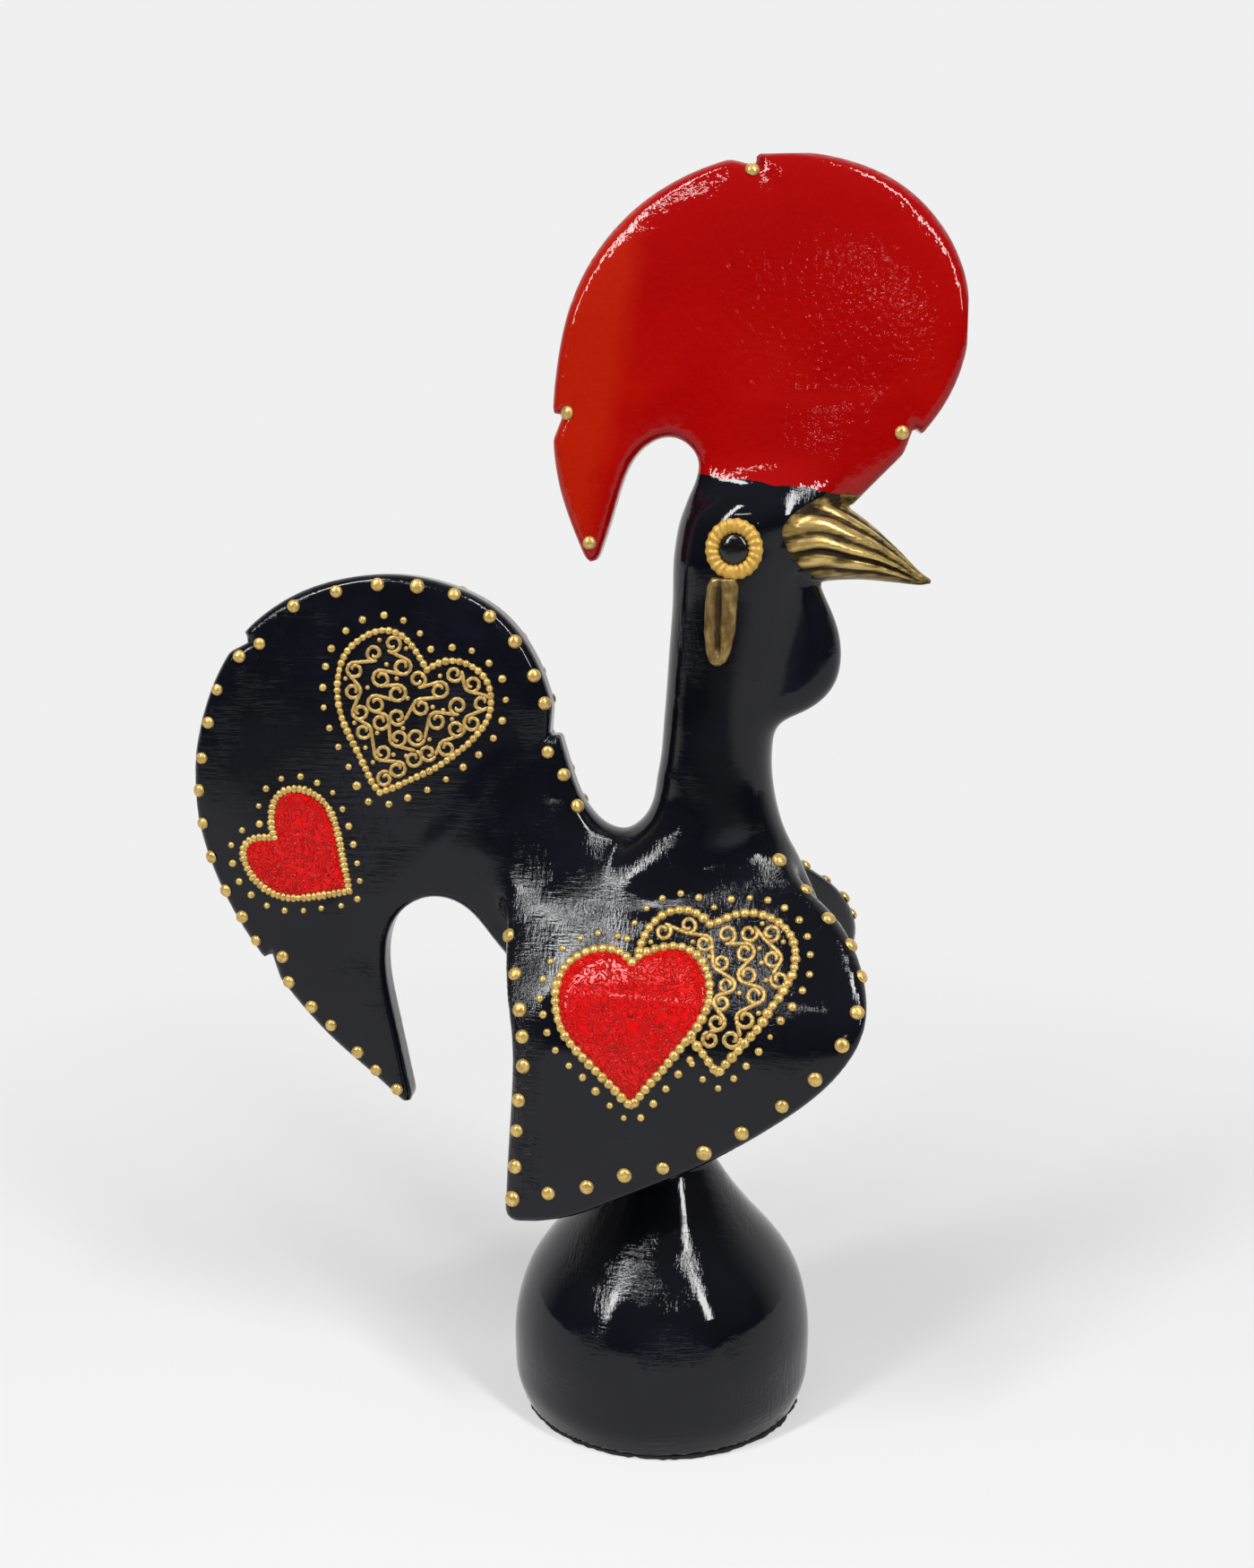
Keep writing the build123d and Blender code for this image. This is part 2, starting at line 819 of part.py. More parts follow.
middle_pieces = {
    "felt_pad": felt_pad,
    "base_bell": base_bell,
    "tail": tail,
    "comb": comb,
    "beak": beak,
    "wattle": wattle,
}
right_pieces = {
    "body": body_right,
    "wing": wing_right,
    "eye": eye_right,
    "eye_ring": eye_ring_right,
    "ear_lobe": ear_lobe_right,
    "comb_dots": comb_dots_right,
    "tail_dots": tail_dots_right,
    "wing_dots": wing_dots_right,
    "tail_red_heart": tail_red_heart_right,
    "tail_red_heart_border": tail_red_heart_border_right,
    "tail_scroll_heart": tail_scroll_heart_right,
    "wing_red_heart": wing_red_heart_right,
    "wing_red_heart_border": wing_red_heart_border_right,
    "wing_scroll_heart": wing_scroll_heart_right,
}

for name, piece in middle_pieces.items():
    finish(piece, name)

# The left side mirrors the right
for name, piece in right_pieces.items():
    finish(piece, name + "_right")
    with BuildPart() as left_piece:
        mirror(piece.part, about=Plane.XZ)
    finish(left_piece, name + "_left")
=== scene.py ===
import bpy
import math
import numpy as np
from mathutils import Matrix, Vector
from mathutils.bvhtree import BVHTree


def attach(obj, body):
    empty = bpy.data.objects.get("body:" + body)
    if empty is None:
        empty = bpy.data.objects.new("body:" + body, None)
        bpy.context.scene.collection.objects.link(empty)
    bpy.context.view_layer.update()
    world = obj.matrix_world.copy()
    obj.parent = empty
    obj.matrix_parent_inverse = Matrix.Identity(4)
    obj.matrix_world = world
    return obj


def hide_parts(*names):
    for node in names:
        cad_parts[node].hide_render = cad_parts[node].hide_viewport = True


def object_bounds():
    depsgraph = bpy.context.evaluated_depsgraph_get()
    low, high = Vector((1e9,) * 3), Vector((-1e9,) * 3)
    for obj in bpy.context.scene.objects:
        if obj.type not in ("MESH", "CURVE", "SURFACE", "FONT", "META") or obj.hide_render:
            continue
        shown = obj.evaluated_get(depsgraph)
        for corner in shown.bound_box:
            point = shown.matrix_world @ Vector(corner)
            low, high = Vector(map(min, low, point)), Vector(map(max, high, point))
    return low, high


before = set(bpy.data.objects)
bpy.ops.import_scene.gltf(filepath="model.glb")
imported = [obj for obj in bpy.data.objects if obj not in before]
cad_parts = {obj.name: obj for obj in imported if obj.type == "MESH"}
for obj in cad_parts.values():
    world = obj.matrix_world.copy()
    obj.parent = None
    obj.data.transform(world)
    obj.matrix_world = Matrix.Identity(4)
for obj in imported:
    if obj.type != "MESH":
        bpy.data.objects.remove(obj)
cad_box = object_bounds()
MM = 0.001
TO_MM = 1000.0
TINY = 1e-9
rng = np.random.default_rng(7)

# Camera, in metres
CAM_AT = Vector((0.0261, -0.3731, 0.207))
CAM_MM = CAM_AT * TO_MM
CAM_TURN = math.radians(5.27)
CAM_DOWN = math.radians(9.5)
FOCAL_PX = 1900.0
PHOTO = (1400.0, 1750.0)
SENSOR = 36.0

cam_data = bpy.data.cameras.new("camera")
cam_data.sensor_width = SENSOR
cam_data.lens = FOCAL_PX / PHOTO[1] * SENSOR
cam_data.clip_start = 0.01
cam = bpy.data.objects.new("camera", cam_data)
bpy.context.scene.collection.objects.link(cam)
cam.location = CAM_AT
look = Vector((
    -math.sin(CAM_TURN) * math.cos(CAM_DOWN), math.cos(CAM_TURN) * math.cos(CAM_DOWN), -math.sin(CAM_DOWN)))
cam.rotation_mode = "QUATERNION"
cam.rotation_quaternion = look.to_track_quat("-Z", "Y")
bpy.context.scene.camera = cam
cam_right = Vector((math.cos(CAM_TURN), math.sin(CAM_TURN), 0.0))
cam_up = cam_right.cross(look)

# Enlarged pictures that points were read from: the left and top pixel, and the enlargement
WING_PIC = (600.0, 980.0, 4.9)
TAIL_PIC = (240.0, 660.0, 4.238)
TAIL_EDGE_PIC = (200.0, 620.0, 2.529)
HEAD_PIC = (740.0, 500.0, 4.9)


def pixel_ray(px, py):
    """Direction from the camera through a pixel of the 1400 x 1750 frame."""
    d = look * FOCAL_PX + cam_right * (px - PHOTO[0] / 2) + cam_up * (PHOTO[1] / 2 - py)
    return d.normalized()


def in_frame(points, pic):
    """Points read in an enlarged picture, as pixels of the frame."""
    return [(pic[0] + x / pic[2], pic[1] + y / pic[2]) for x, y in points]


# Curves and flat fields, in millimetres
def lengths(line):
    """Distance along a line of points from its start to each point."""
    return np.concatenate([[0], np.cumsum(np.linalg.norm(np.diff(line, axis=0), axis=1))])


def unit(v):
    """Each row scaled to length one."""
    return v / (np.linalg.norm(v, axis=-1, keepdims=True) + TINY)


def spline(points, step=0.4):
    """A natural cubic curve through points, sampled about every step."""
    p = np.array(points, float)
    t = lengths(p)
    n, h = len(p), np.diff(t)
    a, b = np.zeros((n, n)), np.zeros_like(p)
    a[0, 0] = a[-1, -1] = 1
    for i in range(1, n - 1):
        a[i, i - 1:i + 2] = h[i - 1], 2 * (h[i - 1] + h[i]), h[i]
        b[i] = 6 * ((p[i + 1] - p[i]) / h[i] - (p[i] - p[i - 1]) / h[i - 1])
    m = np.linalg.solve(a, b)
    s = np.linspace(0, t[-1], max(int(t[-1] / step), 4) + 1)
    i = np.clip(np.searchsorted(t, s, side="right") - 1, 0, n - 2)
    u, v, w = (t[i + 1] - s)[:, None], (s - t[i])[:, None], h[i][:, None]
    bend = (m[i] * u**3 + m[i + 1] * v**3) / (6 * w)
    return bend + (p[i] / w - m[i] * w / 6) * u + (p[i + 1] / w - m[i + 1] * w / 6) * v


def at_length(s, t, line):
    """The point of a line whose points lie at lengths t, where the length is s."""
    return np.array([np.interp(s, t, column) for column in line.T])


def resample(line, pitch, closed=False):
    """Evenly spaced points along a line of points."""
    q = np.concatenate([line, line[:1]]) if closed else line
    t = lengths(q)
    s = np.linspace(0, t[-1], max(int(round(t[-1] / pitch)), 2) + 1)
    if closed:
        s = s[:-1]
    return at_length(s, t, q).T


def placed(shares, left, bottom, length, height):
    """Points given as shares of a box."""
    return [(left + u * length, bottom + v * height) for u, v in shares]


def rounded_corner(loop, corner, reach):
    """Replaces the corner of a closed loop nearest to a point by a smooth bend of the given reach."""
    i = int(np.argmin(np.linalg.norm(loop - np.array(corner), axis=1)))
    loop = np.roll(loop, -i, axis=0)
    tip = loop[0]
    fore, back = 1, len(loop) - 1
    while np.linalg.norm(loop[fore] - tip) < reach:
        fore += 1
    while np.linalg.norm(loop[back] - tip) < reach:
        back -= 1
    s = np.linspace(0, 1, 14)[:, None]
    bend = loop[back] * (1 - s) ** 2 + tip * 2 * s * (1 - s) + loop[fore] * s**2
    return np.concatenate([bend, loop[fore + 1:back]])


def loop_distance(p, loop, at_once=4000):
    """Signed distance from points to a closed loop, negative inside."""
    out = np.empty(len(p))
    a, b = loop, np.roll(loop, -1, axis=0)
    e = b - a
    ee = np.maximum((e * e).sum(1), 1e-12)
    ya, yb = a[None, :, 1], b[None, :, 1]
    lean = e[None, :, 0] / np.where(yb == ya, TINY, yb - ya)
    for start in range(0, len(p), at_once):
        q = p[start:start + at_once]
        w = q[:, None, :] - a[None]
        s = np.clip((w * e[None]).sum(2) / ee, 0, 1)
        d = w - s[..., None] * e[None]
        dist = np.sqrt((d * d).sum(2).min(1))
        x, y = q[:, 0:1], q[:, 1:2]
        cross = ((ya > y) != (yb > y)) & (x < a[None, :, 0] + (y - ya) * lean)
        out[start:start + at_once] = np.where(cross.sum(1) % 2 == 1, -dist, dist)
    return out


def distance_at(pixel, loop):
    """Signed distance in pixels from one pixel to a closed line of pixels."""
    return loop_distance(np.atleast_2d(np.array(pixel, float)), np.array(loop))[0]


def smax(a, b, k):
    """The larger of two distances, blended over k."""
    h = np.maximum(k - np.abs(a - b), 0) / k
    return np.maximum(a, b) + h * h * h * k / 6


def smin(a, b, k):
    """The smaller of two distances, blended over k."""
    return -smax(-a, -b, k)


def rounded(a, b, edge):
    """Inside of both distances, with the edge between them rounded."""
    return np.minimum(np.maximum(a, b), 0) + np.hypot(np.maximum(a, 0), np.maximum(b, 0)) - edge


def reading_weights(t):
    """What each of four neighbours counts for in a smooth reading at t between the middle two."""
    return [0.5 * (-t + 2 * t * t - t**3), 0.5 * (2 - 5 * t * t + 3 * t**3),
            0.5 * (t + 4 * t * t - 3 * t**3), 0.5 * (t**3 - t * t)]


class Flat:
    """A signed distance stored on a grid in the plane, read back smoothly."""

    def __init__(self, distance, low, high, step=0.5):
        self.low, self.step = np.array(low, float), step
        nx, nz = (int((high[c] - low[c]) / step) + 1 for c in (0, 1))
        gx, gz = np.meshgrid(low[0] + step * np.arange(nx), low[1] + step * np.arange(nz), indexing="ij")
        self.v = distance(np.stack([gx.ravel(), gz.ravel()], 1)).reshape(nx, nz)

    def __call__(self, x, z):
        nx, nz = self.v.shape
        u = (x - self.low[0]) / self.step
        w = (z - self.low[1]) / self.step
        uc, wc = np.clip(u, 1, nx - 2.001), np.clip(w, 1, nz - 2.001)
        i, j = uc.astype(int), wc.astype(int)
        wf, wg = reading_weights(uc - i), reading_weights(wc - j)
        total = np.hypot(u - uc, w - wc) * self.step
        for a in range(4):
            column = np.clip(i + a - 1, 0, nx - 1)
            for b in range(4):
                total = total + wf[a] * wg[b] * self.v[column, np.clip(j + b - 1, 0, nz - 1)]
        return total


def flat_of(loop, low, high):
    """The stored distance to a loop."""
    return Flat(lambda p: loop_distance(p, loop), low, high)


# Outlines seen from the side, matching the solids. A box is left, bottom, length and height
COMB = (-23.6, 195.0, 86.6, 83.0)
TAIL = (-106.0, 71.4, 93.5, 119.0)
WING = (-32.2, 54.5, 77.5, 79.5)
CAPE = (0.0, WING[1], 35.0, WING[3])
WATTLE = (22.0, 157.0, 16.6, 35.0)

comb_outer = placed([
    (0.092, -0.038), (0.046, 0.072), (0.018, 0.160), (0.000, 0.290), (0.020, 0.530), (0.075, 0.705),
    (0.190, 0.860), (0.350, 0.960), (0.535, 1.000), (0.720, 0.972), (0.885, 0.872), (0.985, 0.710),
    (1.000, 0.545), (0.940, 0.370), (0.828, 0.235), (0.735, 0.140)], *COMB)
comb_arch = placed([
    (0.362, 0.150), (0.364, 0.250), (0.290, 0.308), (0.205, 0.268), (0.160, 0.180), (0.134, 0.090),
    (0.092, -0.038)], *COMB)
tail_outer = placed([
    (0.526, -0.028), (0.430, 0.042), (0.325, 0.115), (0.200, 0.235), (0.088, 0.360), (0.015, 0.500),
    (0.000, 0.615), (0.040, 0.765), (0.125, 0.878), (0.265, 0.960), (0.405, 0.994), (0.500, 1.000),
    (0.640, 0.980), (0.765, 0.925), (0.848, 0.832), (0.890, 0.725), (0.925, 0.628), (0.964, 0.556),
    (0.998, 0.528), (1.045, 0.517), (1.100, 0.530)], *TAIL)
tail_arch = placed([
    (0.800, 0.255), (0.735, 0.318), (0.665, 0.380), (0.575, 0.395), (0.490, 0.350), (0.463, 0.270),
    (0.480, 0.160), (0.500, 0.080), (0.526, -0.028)], *TAIL)
wing_rear = placed([
    (-0.030, 0.880), (0.000, 0.760), (0.022, 0.610), (0.028, 0.470), (0.014, 0.240), (0.000, 0.000)], *WING)
wing_rim = placed([
    (0.000, 0.000), (0.090, 0.005), (0.200, 0.030), (0.320, 0.080), (0.500, 0.165), (0.680, 0.270),
    (0.840, 0.385), (0.950, 0.500), (1.000, 0.610), (0.985, 0.725), (0.915, 0.830), (0.820, 0.910),
    (0.760, 0.990)], *WING)
wing_section = placed([
    (0.000, 0.986), (0.143, 0.968), (0.246, 0.931), (0.349, 0.880), (0.477, 0.811), (0.614, 0.742),
    (0.757, 0.673), (0.871, 0.610), (0.943, 0.522), (0.971, 0.396), (0.975, 0.245), (0.985, 0.094),
    (1.014, -0.030)], *CAPE)
wattle_line = placed([
    (0.600, 1.000), (0.760, 0.840), (0.920, 0.665), (0.990, 0.470), (0.900, 0.285), (0.620, 0.150),
    (0.200, 0.060), (-0.100, 0.000)], *WATTLE)

NOTCH_DEPTH, NOTCH_MOUTH = 2.4, 6.5
TIP_ROUND, WING_CORNER_ROUND = 4.2, 3.0
# Each notch: how far along the outline, and which way its steep side faces
COMB_NOTCHES = [(0.160, 1), (0.501, 1), (0.907, -1)]
TAIL_NOTCHES = [(0.191, 1), (0.506, 1), (0.868, 1)]


def notch_loop(outer, share, turn):
    """The wedge cut from a slab's edge: one steep side and one shallow."""
    line = spline(outer, 0.2)
    t = lengths(line)
    i = int(np.searchsorted(t, share * t[-1]))
    spot = line[i]
    along = unit(line[i + 1] - line[i - 1])
    inwards = np.array([along[1], -along[0]])
    root = spot + inwards * NOTCH_DEPTH
    shallow = root + (spot - along * turn * NOTCH_MOUTH - root) * 2
    steep = spot - inwards * NOTCH_DEPTH + along * (turn * NOTCH_DEPTH * 0.25)
    return np.array([root, shallow, steep])


def slab_flat(outer, arch, notches, low, high):
    """The stored distance to a sickle with a rounded tip and carved notches."""
    loop = np.concatenate([spline(outer), spline(arch)[:-1]])
    loop = rounded_corner(loop, outer[0], TIP_ROUND)
    wedges = [notch_loop(outer, share, turn) for share, turn in notches]

    def distance(p):
        d = loop_distance(p, loop)
        for wedge in wedges:
            d = smax(d, -loop_distance(p, wedge), 0.5)
        return d

    return Flat(distance, low, high)


comb_flat = slab_flat(comb_outer, comb_arch, COMB_NOTCHES, (-32, 184), (72, 286))
tail_flat = slab_flat(tail_outer, tail_arch, TAIL_NOTCHES, (-114, 60), (6, 198))

# The wing's outline is closed high above the shoulder, and its section deep inside the trunk
WING_CLOSED, CAPE_CLOSED, CAPE_FOOT = 175.0, -90.0, -20.0
wing_top = [(wing_rim[-1][0], WING_CLOSED), (wing_rear[0][0], WING_CLOSED)]
wing_loop = np.concatenate([spline(wing_rear), spline(wing_rim)[1:], wing_top])
wing_flat = flat_of(rounded_corner(wing_loop, wing_rear[-1], WING_CORNER_ROUND), (-44, 44), (56, 150))
cape_line = spline(wing_section)
cape_end = [(cape_line[-1][0] + 1.0, CAPE_FOOT), (CAPE_CLOSED, CAPE_FOOT), (CAPE_CLOSED, cape_line[0][1])]
cape_flat = flat_of(np.concatenate([cape_line, cape_end]), (-14, 36), (54, 150))
WATTLE_CLOSED = 10.0
wattle_end = [(WATTLE_CLOSED, WATTLE[1]), (WATTLE_CLOSED, WATTLE[1] + WATTLE[3])]
wattle_flat = flat_of(np.concatenate([spline(wattle_line), wattle_end]), (4, 146), (50, 204))

# Level sections. The bell: radius and height
BELL_ROWS = [
    (32.0, 1.0), (33.75, 6.0), (34.2, 12.0), (33.6, 22.5), (30.1, 32.8), (25.6, 39.2), (21.1, 44.4),
    (14.4, 53.4), (12.0, 58.0)]
# Trunk with head, and the comb's foot: height, rear, front and half width, as shares
TRUNK_ROWS = [
    (0.055, -0.53, 0.49, 0.70), (0.120, -0.80, 0.74, 0.86), (0.196, -0.91, 0.92, 0.97),
    (0.275, -0.93, 1.00, 1.00), (0.347, -0.89, 0.99, 0.865), (0.412, -0.65, 0.90, 0.665),
    (0.464, -0.37, 0.79, 0.605), (0.516, -0.12, 0.70, 0.578), (0.588, -0.035, 0.638, 0.556),
    (0.667, -0.008, 0.655, 0.556), (0.745, 0.018, 0.720, 0.568), (0.824, 0.045, 0.800, 0.595),
    (0.902, 0.060, 0.880, 0.632), (0.954, 0.105, 0.960, 0.620)]
CROWN_ROWS = [
    (0.000, 0.205, 1.085, 0.72), (0.300, 0.260, 1.180, 0.50), (0.660, 0.290, 1.240, 0.41),
    (1.000, 0.420, 1.220, 0.37)]
BELL_TOP, TRUNK_TALL, CROWN_TALL = 58.0, 153.0, 15.0
BODY_REACH, TRUNK_HALF, CROWN_HALF = 37.5, 21.5, 11.75
CROWN_BASE = BELL_TOP + TRUNK_TALL
STACK_FOOT = 1.0


def level_rows(rows, bottom, tall, half):
    """Sections in millimetres from shares."""
    return [(bottom + level * tall, rear * BODY_REACH, front * BODY_REACH, width * half)
            for level, rear, front, width in rows]


sections = [(z, -r, r, r) for r, z in BELL_ROWS]
sections += level_rows(TRUNK_ROWS, BELL_TOP, TRUNK_TALL, TRUNK_HALF)
sections += level_rows(CROWN_ROWS, CROWN_BASE, CROWN_TALL, CROWN_HALF)


def smooth_rows(rows, step):
    """Even rows of a table whose first column is the place, through a smooth curve in each other column."""
    t, v = rows[:, 0], rows[:, 1:]
    h = np.diff(t)
    rate = np.diff(v, axis=0) / h[:, None]
    m = np.zeros_like(v)
    m[1:-1] = (rate[:-1] * h[1:, None] + rate[1:] * h[:-1, None]) / (h[1:] + h[:-1])[:, None]
    m[0], m[-1] = rate[0], rate[-1]
    s = np.arange(t[0], t[-1] + step, step)
    i = np.clip(np.searchsorted(t, s, side="right") - 1, 0, len(t) - 2)
    w = h[i][:, None]
    f = np.clip((s - t[i]) / h[i], 0, 1)[:, None]
    out = v[i] * (2 * f**3 - 3 * f**2 + 1) + m[i] * w * (f**3 - 2 * f**2 + f)
    out = out + v[i + 1] * (3 * f**2 - 2 * f**3) + m[i + 1] * w * (f**3 - f**2)
    for _ in range(3):
        out[1:-1] = (out[:-2] + 2 * out[1:-1] + out[2:]) / 4
    return s, out


def read_rows(s, v, at):
    """Reads even rows with a local cubic curve, so that slopes don't jump."""
    u = np.clip((at - s[0]) / (s[1] - s[0]), 1, len(s) - 2.001)
    i = u.astype(int)
    f = (u - i)[:, None]
    a, b, c, d = v[np.clip(i - 1, 0, len(s) - 1)], v[i], v[i + 1], v[np.clip(i + 2, 0, len(s) - 1)]
    return 0.5 * ((2 * b) + (c - a) * f + (2 * a - 5 * b + 4 * c - d) * f**2 + (3 * b - a - 3 * c + d) * f**3)


stack_z, stack_v = smooth_rows(np.array(sections), 0.5)


def oval_distance(x, y, cx, a, b):
    """About how far a point is from an oval."""
    u, v = (x - cx) / a, y / b
    g = np.sqrt(u * u + v * v) + TINY
    rate = np.sqrt((u / a) ** 2 + (v / b) ** 2) / g + TINY
    return (g - 1) / rate


def stack_field(p):
    """Bell, trunk, neck, head and the comb's foot."""
    rear, front, half = read_rows(stack_z, stack_v, p[:, 2]).T
    reach = np.maximum((front - rear) / 2, 2)
    d = oval_distance(p[:, 0], p[:, 1], (rear + front) / 2, reach, np.maximum(half, 2)) * 0.85
    d = smax(d, STACK_FOOT - p[:, 2], 1.2)
    return smax(d, p[:, 2] - (CROWN_BASE + CROWN_TALL), 3.0)


def slab(flat, p, thick, edge, crown=0.0, reach=4.5):
    """A slab with rounded edges, thinner by crown on each face towards its rim."""
    inset = flat(p[:, 0], p[:, 2])
    face = np.abs(p[:, 1]) - thick / 2 + crown * np.exp(np.minimum(inset, 0) / reach)
    return rounded(inset + edge, face + edge, edge)


SLAB_THICK = 10.0
SLAB_EDGE = 1.7
ROOT_TILT = math.radians(40.0)
ROOT_AT, ROOT_TALL = (-16.2, 116.0), 15.5
ROOT_MIDDLE, ROOT_REACH = 8.0, 28.0
ROOT_PLACES, ROOT_HALVES = (-20, 0, 11.5, 22, 34), (13, 12, 10.3, 7.4, 4.1)


def root_field(p):
    """The wedge that thickens the tail where it leaves the trunk."""
    dx, dz = p[:, 0] - ROOT_AT[0], p[:, 2] - ROOT_AT[1]
    s = -dx * math.cos(ROOT_TILT) + dz * math.sin(ROOT_TILT)
    t = dx * math.sin(ROOT_TILT) + dz * math.cos(ROOT_TILT)
    half = np.interp(s, ROOT_PLACES, ROOT_HALVES)
    return smax(oval_distance(t, p[:, 1], 0.0, ROOT_TALL, half) * 0.95, np.abs(s - ROOT_MIDDLE) - ROOT_REACH, 6)


TAIL_BACK, TAIL_GROWTH, TAIL_CROWN = 1.1, 0.35, 0.9


def tail_field(p):
    """The tail a little further back than its solid, but not at its rearmost edge, which keeps its place."""
    q = p.copy()
    q[:, 0] += TAIL_BACK * np.clip((p[:, 0] - TAIL[0]) / 14.0, 0.05, 1.0)
    return smin(slab(tail_flat, q, SLAB_THICK, SLAB_EDGE, TAIL_CROWN) - TAIL_GROWTH, root_field(p), 6.0)


FLARE, FLARE_AT = math.radians(7.0), 5.0
WING_THICK, WING_DROP, WING_GROWTH = 5.5, 1.6, 0.3
WING_WORN, WORN_REACH = 1.5, 4.5
WING_WIDER, WING_PIVOT = 0.018, -31.0
BULGE, BULGE_AT, BULGE_TALL, BULGE_FROM, BULGE_RUN = 1.8, 107.0, 11.0, -5.0, 15.0


def wing_field(p):
    """Both wings: a cape's section swung outwards in front, cut by the outline."""
    x, z = p[:, 0], p[:, 2]
    face = cape_flat(np.abs(p[:, 1]) * math.cos(FLARE) - (x - FLARE_AT) * math.sin(FLARE), z)
    bulge = BULGE * np.exp(-((z - BULGE_AT) / BULGE_TALL) ** 2) * np.clip((BULGE_FROM - x) / BULGE_RUN, 0, 1)
    inset = wing_flat(x + WING_WIDER * (x - WING_PIVOT) + bulge, z + WING_DROP) - WING_GROWTH
    worn = WING_WORN * np.exp(np.minimum(inset, 0) / WORN_REACH)
    skin = np.abs(face + (WING_THICK + worn) / 2) - (WING_THICK - worn) / 2
    return rounded(inset + SLAB_EDGE, skin + SLAB_EDGE, SLAB_EDGE)


COMB_WORN, COMB_WORN_REACH, COMB_GROWTH = 3.4, 6.5, 0.5
COMB_WORN_FROM, COMB_WORN_RISE, COMB_WORN_LEAST = 238.0, 26.0, 0.3


def comb_field(p):
    """The comb, worn thinner towards its rim, most at the top."""
    high = np.clip((p[:, 2] - COMB_WORN_FROM) / COMB_WORN_RISE, COMB_WORN_LEAST, 1.0)
    inset = np.minimum(comb_flat(p[:, 0], p[:, 2]), 0)
    q = p.copy()
    q[:, 1] = np.abs(p[:, 1]) + COMB_WORN * high * np.exp(inset / COMB_WORN_REACH)
    return slab(comb_flat, q, SLAB_THICK, SLAB_EDGE) - COMB_GROWTH


WATTLE_THICK, WATTLE_EDGE = 13.0, 5.5


def wattle_field(p):
    return slab(wattle_flat, p, WATTLE_THICK, WATTLE_EDGE)


BEAK_BACK, BEAK_LENGTH, BEAK_TOP, BEAK_TALL, BEAK_WIDE = 24.0, 33.0, 207.4, 19.0, 23.6
BEAK_CUT, BEAK_LEAST = 58.4, 0.4
# How far out, how far below the top, how tall and how wide, as shares
BEAK_SHARES = [
    (-0.10, 0.20, 0.62, 0.60), (0.00, 0.02, 1.00, 0.94), (0.14, 0.00, 1.00, 1.00), (0.32, 0.00, 0.94, 0.94),
    (0.54, 0.20, 0.72, 0.76), (0.78, 0.55, 0.41, 0.47), (0.98, 0.87, 0.12, 0.16), (1.04, 0.93, 0.03, 0.05)]
RIDGES_END = 57.6
# Grooves round the beak: angle, width and depth, less than zero for a ridge
GROOVES = [
    (-0.30, 0.085, 0.85), (-0.10, 0.12, -0.40), (0.12, 0.08, 0.40), (0.36, 0.13, -0.28), (0.64, 0.08, 0.50),
    (0.86, 0.09, -0.20), (1.08, 0.08, 0.45), (-0.78, 0.10, 0.40), (-0.56, 0.12, -0.20)]
beak_rows = []
for out, drop, tall, wide in BEAK_SHARES:
    high = BEAK_TOP - drop * BEAK_TALL
    beak_rows.append((BEAK_BACK + out * BEAK_LENGTH, high - tall * BEAK_TALL, high, wide * BEAK_WIDE / 2))
beak_s, beak_v = smooth_rows(np.array(beak_rows), 0.4)


def beak_section(p):
    """The beak's middle height, half height and half width at each point."""
    low, high, half = read_rows(beak_s, beak_v, p[:, 0]).T
    return (low + high) / 2, np.maximum((high - low) / 2, BEAK_LEAST), np.maximum(half, BEAK_LEAST)


def beak_grooves(p, middle, tall, half):
    """Modelled ridges from the cheek to the point, with the gape between two of them."""
    x = p[:, 0]
    turn = np.arctan2((p[:, 2] - middle) / tall, np.abs(p[:, 1]) / half)
    fade = np.clip((x - BEAK_BACK - 1) / 6, 0, 1) * np.clip((RIDGES_END - x) / 10, 0, 1)
    waver = 0.05 * np.sin(x * 0.35)
    return fade * sum(deep * np.exp(-((turn - place + waver) / wide) ** 2) for place, wide, deep in GROOVES)


def beak_field(p):
    middle, tall, half = beak_section(p)
    d = oval_distance(p[:, 2], p[:, 1], middle, tall, half) * 0.9 + beak_grooves(p, middle, tall, half)
    d = smax(d, p[:, 0] - BEAK_CUT, 1.0)
    return smax(d, BEAK_BACK - 3.0 - p[:, 0], 1.0)


# Slow waves over the clay: direction, height and start
WAVES = [
    ((0.072, 0.031, 0.046), 0.12, 0.4), ((-0.050, 0.060, 0.112), 0.08, 1.9),
    ((0.160, -0.050, -0.092), 0.045, 3.3), ((0.110, 0.130, 0.215), 0.028, 5.0),
    ((-0.310, 0.080, 0.160), 0.016, 0.9)]


def hand(p):
    """The slow unevenness of clay shaped by hand."""
    return sum(size * np.sin(p @ np.array(way) + start) for way, size, start in WAVES)


def parts_fields(p):
    return stack_field(p), tail_field(p), wing_field(p), comb_field(p), wattle_field(p), beak_field(p)


TAIL_BLEND, COMB_BLEND, WATTLE_BLEND, BEAK_BLEND = 2.2, 6.0, 5.0, 1.6
WING_BLEND_HEIGHTS, WING_BLENDS = (78.0, 108.0), (1.0, 6.0)


def field(p):
    """The whole clay. The wings are blended in at the shoulders and hang free below them."""
    stack, tail, wing, comb, wattle, beak = parts_fields(p)
    wing_blend = np.interp(p[:, 2], WING_BLEND_HEIGHTS, WING_BLENDS)
    d = smin(stack, tail, TAIL_BLEND)
    for other, blend in ((wing, wing_blend), (comb, COMB_BLEND), (wattle, WATTLE_BLEND), (beak, BEAK_BLEND)):
        d = smin(d, other, blend)
    return d + hand(p)


